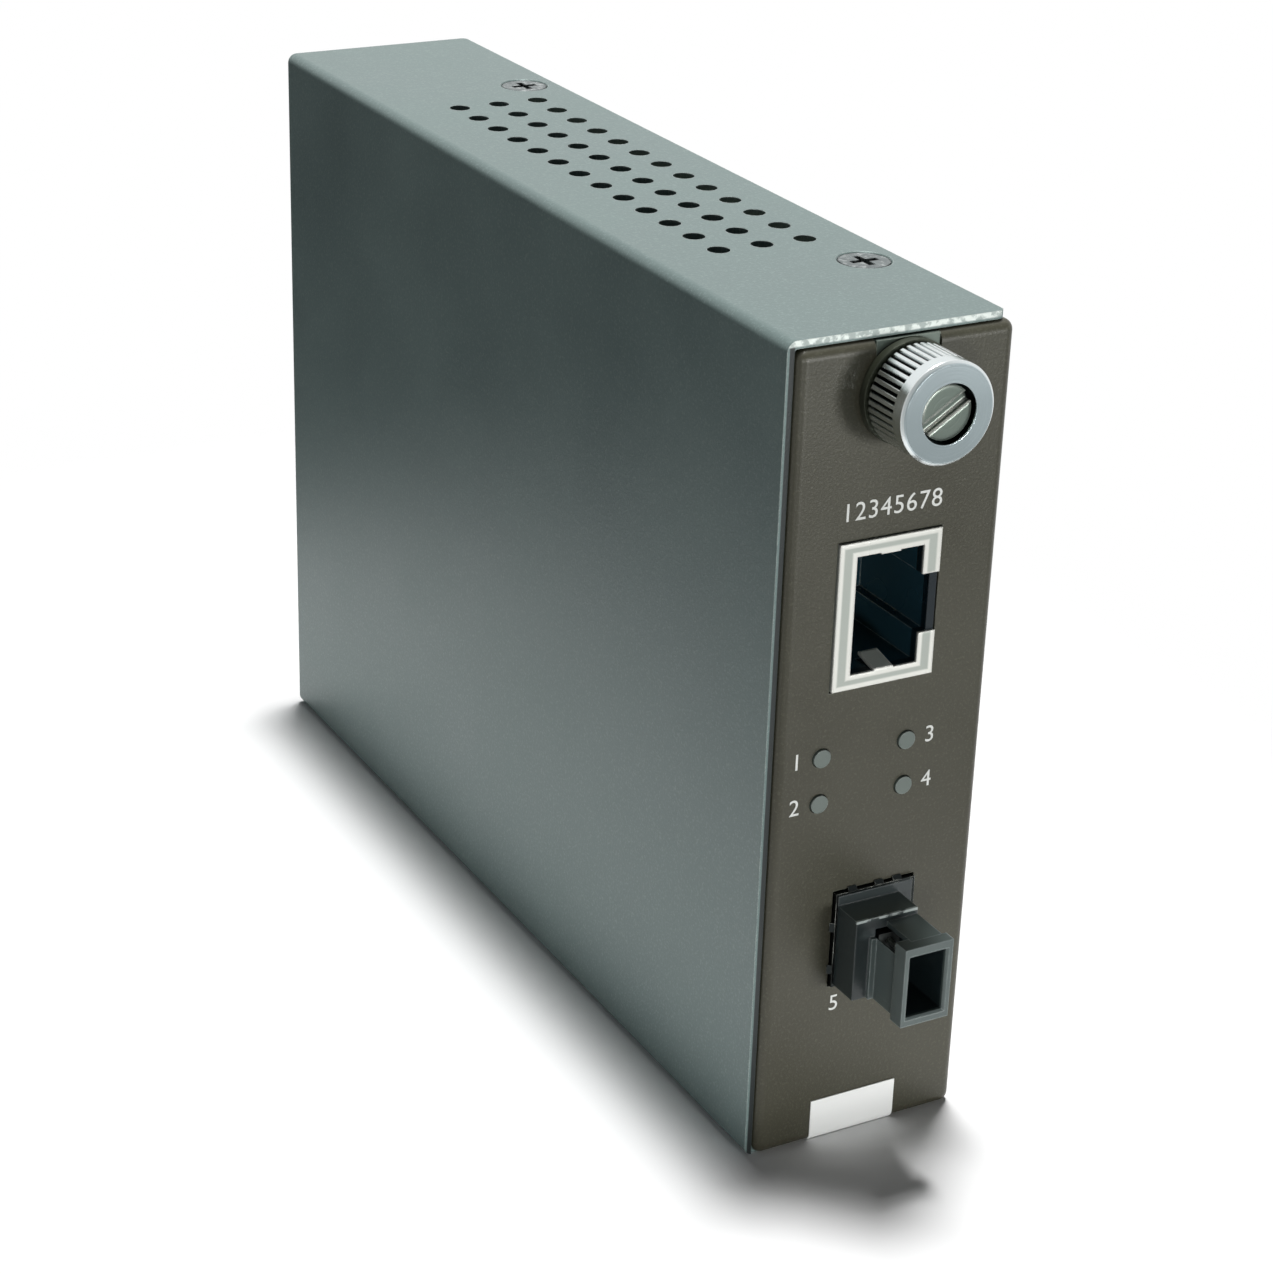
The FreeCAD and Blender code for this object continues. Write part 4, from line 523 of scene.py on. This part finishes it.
FINISHES = {
    # painted and blackened sheet and screws
    # both paints' light edge tones are part wear and part painted highlight
    "case_paint": dict(
        base=colour(104, 122, 120), other=colour(111, 129, 126), rough=0.38, metal=0.18,
        grain_scale=3300.0, grain_depth=0.03 * MM, peaks=colour(142, 159, 156), peak_share=0.45,
        edge=colour(196, 208, 203), edge_width=0.14 * MM, edge_break=0.6, extra=front_sheet_edge),
    "panel_paint": dict(
        base=colour(58, 56, 43), other=colour(64, 63, 50), rough=0.38, metal=0.1, grain_scale=3300.0,
        grain_depth=0.03 * MM, peaks=colour(90, 90, 74), peak_share=0.45, edge=colour(112, 116, 105),
        edge_width=0.2 * MM, edge_break=0.8),
    # painted light: grain peaks stand for glints, the dark edge for the head's shaded outline, the groove
    # tone for shade in the recess
    "screw_black": dict(
        base=colour(112, 122, 122), other=colour(78, 87, 88), rough=0.3, metal=0.6, rough_spread=0.15,
        drift_scale=700.0, grain_scale=1300.0, grain_depth=0.04 * MM, peaks=colour(226, 232, 230),
        peak_share=0.55, edge=colour(30, 35, 36), edge_width=0.3 * MM, edge_break=0.3,
        shade_in_grooves=colour(10, 12, 12), groove_shade_reach=0.7 * MM),
    # bare metals of the screw and the case
    # the near-white edge tone is a painted highlight on the bevels; knob_zones adds painted shade
    "knob_nickel": dict(
        base=colour(232, 238, 238), other=colour(220, 227, 228), rough=0.22, metal=1.0,
        edge=colour(252, 252, 250), edge_width=0.14 * MM, edge_break=0.1, grain_depth=0.003 * MM,
        lathe_axis=SCREW_AXIS, lathe_depth=0.008 * MM, extra=knob_zones),
    # the wide near-white edge tone paints highlights along the slot's edges; the groove tone paints shade in
    # the slot
    "screw_steel": dict(
        base=colour(126, 136, 128), other=colour(98, 108, 101), rough=0.3, metal=1.0,
        edge=colour(254, 253, 244), edge_width=0.5 * MM, edge_break=0.05, shade_in_grooves=colour(30, 31, 27),
        grain_depth=0.004 * MM, lathe_axis=SCREW_AXIS, lathe_depth=0.01 * MM),
    "spring_steel": dict(
        base=colour(160, 160, 156), other=colour(130, 130, 126), rough=0.35, metal=1.0,
        edge=colour(176, 176, 168), edge_width=0.08 * MM, grain_depth=0.004 * MM),
    # the groove tone is painted shade, and retainer_ring paints shade on the ring behind the knob
    "retainer_zinc": dict(
        base=colour(112, 124, 116), other=colour(98, 108, 100), rough=0.4, metal=0.5,
        edge=colour(160, 168, 156), edge_width=0.15 * MM, shade_in_grooves=colour(40, 42, 34), grain_depth=0.01 * MM,
        extra=retainer_ring),
    "zinc": dict(
        base=colour(176, 180, 182), other=colour(150, 154, 156), rough=0.38, metal=1.0,
        edge=colour(214, 216, 216), edge_width=0.12 * MM, shade_in_grooves=colour(84, 84, 80), grain_depth=0.008 * MM),
    # metals of the ports
    # the near-white edge tone and shield_rim are painted highlights; the groove tone is painted shade
    "shield_nickel": dict(
        base=colour(200, 206, 198), other=colour(184, 190, 182), rough=0.28, metal=0.35,
        edge=colour(254, 253, 246), edge_width=0.36 * MM, edge_break=0.15, shade_in_grooves=colour(84, 80, 68),
        grain_depth=0.006 * MM, extra=shield_rim),
    # the dark base is painted shade on the collar's metal; its few bright edges are painted glints
    "collar_spring_in_shade": dict(
        base=colour(40, 44, 44), other=colour(32, 36, 36), rough=0.32, metal=0.9,
        edge=colour(206, 208, 200), edge_width=0.07 * MM, edge_break=0.95, shade_in_grooves=colour(20, 22, 22),
        grain_depth=0.005 * MM),
    # moulded plastics
    # the light edge tone is a painted highlight; socket_front adds painted shade
    "jack_black": dict(
        base=colour(30, 58, 70), other=colour(38, 68, 80), rough=0.28, edge=colour(150, 166, 170),
        edge_width=0.22 * MM, edge_break=0.5, grain_scale=3800.0, grain_depth=0.01 * MM,
        extra=socket_front),
    "black_plastic": dict(
        base=colour(26, 28, 30), other=colour(34, 36, 38), rough=0.36, edge=colour(62, 66, 68),
        edge_width=0.18 * MM, edge_break=0.6, grain_scale=3800.0, grain_depth=0.012 * MM),
    # the light edge tone is a painted highlight; port_zones adds painted light
    "port_plastic": dict(
        base=colour(88, 99, 97), other=colour(76, 87, 85), rough=0.33, edge=colour(150, 160, 158),
        edge_width=0.22 * MM, edge_break=0.45, grain_scale=3600.0, grain_depth=0.01 * MM, extra=port_zones),
    # the light edge tone is a painted highlight along the module's lip
    "module_plastic": dict(
        base=colour(34, 40, 41), other=colour(44, 51, 52), rough=0.33, edge=colour(140, 150, 150),
        edge_width=0.24 * MM, edge_break=0.45, grain_scale=3600.0, grain_depth=0.01 * MM),
    # what the board carries
    "contact_gold": dict(
        base=colour(214, 178, 104), other=colour(196, 160, 88), rough=0.28, metal=1.0,
        edge=colour(238, 208, 140), edge_width=0.05 * MM, grain_depth=0.003 * MM),
    "lamp": dict(
        base=colour(108, 118, 112), other=colour(96, 106, 101), rough=0.34, edge=colour(126, 136, 130),
        edge_width=0.2 * MM, grain_scale=1800.0, grain_depth=0.006 * MM, coat=0.15),
    "tinned": dict(
        base=colour(186, 186, 182), other=colour(168, 168, 164), rough=0.36, metal=1.0,
        edge=colour(216, 216, 212), edge_width=0.05 * MM, grain_depth=0.006 * MM),
    "ferrule_ceramic": dict(
        base=colour(62, 66, 64), other=colour(52, 56, 55), rough=0.3, edge=colour(110, 112, 106),
        edge_width=0.1 * MM, grain_depth=0.004 * MM),
    "chip_plastic": dict(
        base=colour(34, 34, 36), other=colour(42, 42, 44), rough=0.5, edge=colour(64, 64, 66),
        edge_width=0.12 * MM, grain_scale=4200.0, grain_depth=0.01 * MM),
    "drawn_can": dict(
        base=colour(190, 192, 194), other=colour(168, 170, 172), rough=0.3, metal=1.0,
        edge=colour(222, 222, 222), edge_width=0.15 * MM, grain_depth=0.005 * MM),
    "ferrite": dict(
        base=colour(62, 62, 66), other=colour(78, 78, 82), rough=0.62, edge=colour(104, 104, 108),
        edge_width=0.2 * MM, grain_scale=3000.0, grain_depth=0.02 * MM),
    # paper, laminate and ink
    # the darker edge tone is painted shade along the label's edges
    "label_paper": dict(
        base=colour(250, 251, 248), other=colour(244, 246, 243), rough=0.5, edge=colour(216, 218, 210),
        edge_width=0.08 * MM, edge_break=0.6, grain_scale=3400.0, grain_depth=0.004 * MM),
    "board_laminate": dict(
        base=colour(28, 92, 52), other=colour(24, 80, 44), rough=0.34, edge=colour(150, 148, 100),
        edge_width=0.2 * MM, grain_scale=1500.0, grain_depth=0.01 * MM, extra=board_tracks),
    "white_ink": dict(
        base=colour(232, 234, 230), other=colour(214, 217, 212), rough=0.5, grain_scale=5200.0,
        grain_depth=0.004 * MM, peaks=colour(190, 190, 184), peak_share=0.4, edge_width=0.03 * MM),
}

MATERIALS = {name: finish_of(name, **facts) for name, facts in FINISHES.items()}

NODE_FINISH = {
    "cover": "case_paint", "chassis": "panel_paint", "cover_screws": "screw_black",
    "front_label": "label_paper", "screw_retainer": "retainer_zinc", "thumb_knob": "knob_nickel",
    "jack_screw": "screw_steel", "retaining_clip": "spring_steel", "screw_spring": "spring_steel",
    "circuit_board": "board_laminate", "board_standoffs": "zinc", "board_screws": "zinc",
    "jack_shield": "shield_nickel", "jack_insert": "jack_black", "jack_contacts": "contact_gold",
    "light_holder": "black_plastic", "light_copper_low": "lamp", "light_copper_high": "lamp",
    "light_left_low": "lamp", "light_left_high": "lamp", "light_leads": "tinned",
    "ground_collar": "collar_spring_in_shade", "fibre_nose": "port_plastic", "fibre_ferrule": "ferrule_ceramic",
    "guide_pins": "screw_steel", "transceiver_module": "module_plastic", "transceiver_leads": "tinned",
    "power_inlet": "black_plastic", "inlet_pin": "shield_nickel", "magnetics": "chip_plastic",
    "magnetics_leads": "tinned", "converter_chip": "chip_plastic", "converter_chip_leads": "tinned",
    "memory_chip": "chip_plastic", "crystal": "drawn_can", "regulator": "chip_plastic",
    "inductor": "ferrite", "storage_capacitors": "drawn_can", "chip_parts": "ferrite",
}


def paint(piece, name):
    """Give a piece one finish all over."""
    piece.data.materials.clear()
    piece.data.materials.append(MATERIALS[name])


for node_name, finish in NODE_FINISH.items():
    paint(frame["nodes"][node_name], finish)


# ---------------------------------------------------------------- pieces

def keep_piece(mesh_or_curve, name, body, finish):
    """Link an object's data as a finished piece that rides on a body."""
    piece = bpy.data.objects.new(name, mesh_or_curve)
    bpy.context.scene.collection.objects.link(piece)
    paint(piece, finish)
    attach(piece, body)
    return piece


def skin_rings(name, rings):
    """A closed mesh from rings of points, each ring joined to the next."""
    mesh = bmesh.new()
    rows = [[mesh.verts.new(point) for point in ring] for ring in rings]
    sides = len(rows[0])
    for first, second in zip(rows, rows[1:]):
        for k in range(sides):
            following = (k + 1) % sides
            mesh.faces.new((first[k], first[following], second[following], second[k]))
    mesh.faces.new(rows[0][::-1])
    mesh.faces.new(rows[-1])
    bmesh.ops.recalc_face_normals(mesh, faces=mesh.faces)
    data = bpy.data.meshes.new(name)
    mesh.to_mesh(data)
    mesh.free()
    return data


def around_screw(radius, angle, along):
    """A point at a radius and an angle round the screw's axis, at a place along it."""
    return SCREW_AXIS[0] + radius * math.cos(angle), along, SCREW_AXIS[2] + radius * math.sin(angle)


THREAD_SHARE = 0.84


def make_thread(name, body, front, rear, root, crest, pitch, steps=24):
    """A raised helical thread round the screw's tip, as wide as a share of its pitch."""
    half = pitch * THREAD_SHARE / 2
    count = int((rear - front - 2 * half) / pitch * steps)
    rings = []
    for i in range(count + 1):
        angle = 2 * math.pi * i / steps
        along = front + half + pitch * i / steps
        taper = min(1.0, i / steps, (count - i) / steps)
        profile = ((-half, root), (0.0, root + (crest - root) * taper), (half, root))
        rings.append([around_screw(radius, angle, along + shift) for shift, radius in profile])
    keep_piece(skin_rings(name, rings), name, body, "screw_steel")


def make_spring(name, turns, wire, steps=32, sides=8):
    """The screw's spring, which stands for its CAD node because it shortens as the screw is pulled out."""
    low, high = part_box("screw_spring")
    radius = (high.x - low.x) / 2 - wire
    count = round(turns * steps)
    section = [2 * math.pi * k / sides for k in range(sides)]
    rings = []
    for i in range(count + 1):
        along = low.y + wire + (high.y - low.y - 2 * wire) * i / count
        angle = 2 * math.pi * i / steps
        rings.append([around_screw(radius + wire * math.cos(turn), angle, along + wire * math.sin(turn))
                      for turn in section])
    data = skin_rings(name, rings)
    for face in data.polygons:
        face.use_smooth = len(face.vertices) == 4
    spring = keep_piece(data, name, "housing", "spring_steel")
    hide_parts("screw_spring")
    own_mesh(spring)


TEXT_SIZE_OVER_HEIGHT = 1.4
INK_THICKNESS = 0.012 * MM
INK_FACE = PANEL_FACE - 0.01 * MM
CONTACTS = 8
CONTACT_NUMBER_HEIGHT = 1.9 * MM
CONTACT_NUMBER_RISE = 3.0 * MM
NUMBER_HEIGHT = 1.8 * MM
LIGHT_NUMBER_SHIFT = 2.8 * MM
PORT_NUMBER_INSET = 1.15 * MM
PORT_NUMBER_DROP = 2.3 * MM


def make_number(name, text, x, z, height):
    """A plain printed number on the front panel, its middle at a place."""
    words = bpy.data.curves.new(name, "FONT")
    words.body = text
    words.size = height * TEXT_SIZE_OVER_HEIGHT
    words.align_x = "CENTER"
    words.align_y = "CENTER"
    words.extrude = INK_THICKNESS
    source = bpy.data.objects.new(name + "_words", words)
    bpy.context.scene.collection.objects.link(source)
    bpy.context.view_layer.update()
    data = bpy.data.meshes.new_from_object(source.evaluated_get(bpy.context.evaluated_depsgraph_get()))
    bpy.data.objects.remove(source)
    for vertex in data.vertices:
        across, up, out = vertex.co
        vertex.co = (x + across, INK_FACE - out, z + up)
    data.name = name
    keep_piece(data, name, "housing", "white_ink")


def make_legends():
    """Plain numbers: one above each contact of the copper socket, one beside each light, one at the port."""
    low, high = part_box("jack_shield")
    step = (high.x - low.x) / CONTACTS
    for i in range(CONTACTS):
        make_number(f"contact_number_{i + 1}", str(i + 1), low.x + step * (i + 0.5),
                    high.z + CONTACT_NUMBER_RISE, CONTACT_NUMBER_HEIGHT)
    sides = {"light_left_high": -1, "light_left_low": -1, "light_copper_high": 1, "light_copper_low": 1}
    for i, (lamp, side) in enumerate(sides.items(), start=1):
        place = middle(lamp)
        make_number(f"light_number_{i}", str(i), place.x + side * LIGHT_NUMBER_SHIFT, place.z, NUMBER_HEIGHT)
    low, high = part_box("ground_collar")
    make_number("port_number", "5", low.x + PORT_NUMBER_INSET, low.z - PORT_NUMBER_DROP, NUMBER_HEIGHT)


SCREW_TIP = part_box("jack_screw")[1].y
make_thread("jack_screw_thread", "jackscrew", front=SCREW_TIP - 4.7 * MM, rear=SCREW_TIP - 0.45 * MM,
            root=1.42 * MM, crest=1.54 * MM, pitch=0.5 * MM)
make_spring("screw_spring_coil", turns=3.0, wire=0.25 * MM)
make_legends()


# ---------------------------------------------------------------- floor, lights and camera

FLOOR_HALF = 300 * MM
FLOOR_DROP = 0.02 * MM
FLOOR_BOUNCE = (0.75, 0.75, 0.76, 1.0)
FLOOR_FADE = (35 * MM, 95 * MM)

AMBIENT = (0.04, 0.041, 0.043, 1.0)
DIM_LEFT_WAY = (-0.42, 0.85, -0.3)
DIM_LEFT_SPREAD = (0.81, 0.96)
DIM_LEFT_TONE = (0.05, 0.055, 0.06, 1.0)
DIM_FRONT_SPREAD = (-0.1, -0.7)
DIM_FRONT_TONE = (0.38, 0.4, 0.4, 1.0)

LAMPS = {
    "overhead": dict(place=(0.096, 0.11, 1.6), target=(0.0, 0.0, 0.0), size=0.19, power=27.0),
    "front_fill": dict(place=(0.4, -1.2, 0.02), target=(0.0, 0.0, 0.045), size=0.2, power=7.2),
    "left_fill": dict(place=(-0.5, -1.15, 0.04), target=(0.0, 0.0, 0.05), size=0.2, power=3.7),
}

CAMERA_PLACE = (-0.14812, -0.27622, 0.17404)
CAMERA_TARGET = (0.00154, -0.00789, 0.03479)
CAMERA_ROLL = math.radians(1.9)
CAMERA_SENSOR_MM = 36.0
CAMERA_LENS_MM = 83.72
CAMERA_NEAREST = 10 * MM


def seen_directly(tree):
    """1 for what the camera sees, also through glass or in a reflection; 0 for light that falls on things."""
    path = tree.nodes.new("ShaderNodeLightPath").outputs
    straight = maths(tree, "MAXIMUM", path["Is Camera Ray"], path["Is Transmission Ray"])
    return maths(tree, "MAXIMUM", straight, path["Is Glossy Ray"])


def make_floor():
    """A pale floor round the object, which keeps its shadow and fades into the surroundings."""
    mesh = bmesh.new()
    around = ((-1, -1), (1, -1), (1, 1), (-1, 1))
    mesh.faces.new([mesh.verts.new((x * FLOOR_HALF, y * FLOOR_HALF, -FLOOR_DROP)) for x, y in around])
    data = bpy.data.meshes.new("floor")
    mesh.to_mesh(data)
    mesh.free()
    floor = bpy.data.objects.new("floor", data)
    bpy.context.scene.collection.objects.link(floor)
    material = bpy.data.materials.new("floor_pale")
    material.use_nodes = True
    tree = material.node_tree
    shader = tree.nodes["Principled BSDF"]
    feed(tree, shader.inputs["Base Color"], blend(tree, seen_directly(tree), FLOOR_BOUNCE, WHITE))
    shader.inputs["Roughness"].default_value = 0.9
    shader.inputs["Specular IOR Level"].default_value = 0.0
    low, high = CAD_BOX
    footprint = ((high[0] - low[0]) / 2, (high[1] - low[1]) / 2, 0.0)
    centre = ((high[0] + low[0]) / 2, (high[1] + low[1]) / 2, 0.0)
    aside = vector_maths(tree, "ABSOLUTE", vector_maths(tree, "SUBTRACT", object_place(tree), centre))
    past = vector_maths(tree, "MAXIMUM", vector_maths(tree, "SUBTRACT", aside, footprint), (0.0, 0.0, 0.0))
    away = vector_maths(tree, "LENGTH", past, output="Value")
    feed(tree, shader.inputs["Alpha"], maths(tree, "SUBTRACT", 1.0, ramp(tree, away, *FLOOR_FADE)))
    data.materials.append(material)


def make_lamp(name, place, target, size, power):
    """A square soft lamp that points at a place."""
    lamp = bpy.data.lights.new(name, "AREA")
    lamp.shape = "SQUARE"
    lamp.size = size
    lamp.energy = power
    holder = bpy.data.objects.new(name, lamp)
    bpy.context.scene.collection.objects.link(holder)
    holder.location = place
    holder.rotation_euler = (Vector(target) - Vector(place)).to_track_quat("-Z", "Y").to_euler()


def make_world():
    """Weak even light; white to the camera; a white room, dimmer at its left and front, in reflections."""
    world = bpy.data.worlds.new("studio")
    bpy.context.scene.world = world
    world.use_nodes = True
    tree = world.node_tree
    shader = tree.nodes["Background"]
    way = tree.nodes.new("ShaderNodeTexCoord").outputs["Generated"]
    leftward = vector_maths(tree, "DOT_PRODUCT", way, DIM_LEFT_WAY, output="Value")
    left = ramp(tree, leftward, *DIM_LEFT_SPREAD)
    front = ramp(tree, split_place(tree, way)["Y"], *DIM_FRONT_SPREAD)
    room = blend(tree, front, blend(tree, left, WHITE, DIM_LEFT_TONE), DIM_FRONT_TONE)
    mirrored = tree.nodes.new("ShaderNodeLightPath").outputs["Is Glossy Ray"]
    shown = blend(tree, mirrored, WHITE, room)
    feed(tree, shader.inputs["Color"], blend(tree, seen_directly(tree), AMBIENT, shown))


def make_camera():
    """The camera, a little above and to the left of the front."""
    data = bpy.data.cameras.new("camera")
    data.sensor_width = CAMERA_SENSOR_MM
    data.lens = CAMERA_LENS_MM
    data.clip_start = CAMERA_NEAREST
    camera = bpy.data.objects.new("camera", data)
    bpy.context.scene.collection.objects.link(camera)
    aim = (Vector(CAMERA_TARGET) - Vector(CAMERA_PLACE)).to_track_quat("-Z", "Y")
    camera.rotation_mode = "QUATERNION"
    camera.location = CAMERA_PLACE
    camera.rotation_quaternion = aim @ Quaternion((0.0, 0.0, 1.0), CAMERA_ROLL)
    bpy.context.scene.camera = camera


make_floor()
make_world()
for lamp_name, lamp_facts in LAMPS.items():
    make_lamp(lamp_name, **lamp_facts)
make_camera()
bpy.context.scene.view_settings.view_transform = "Standard"
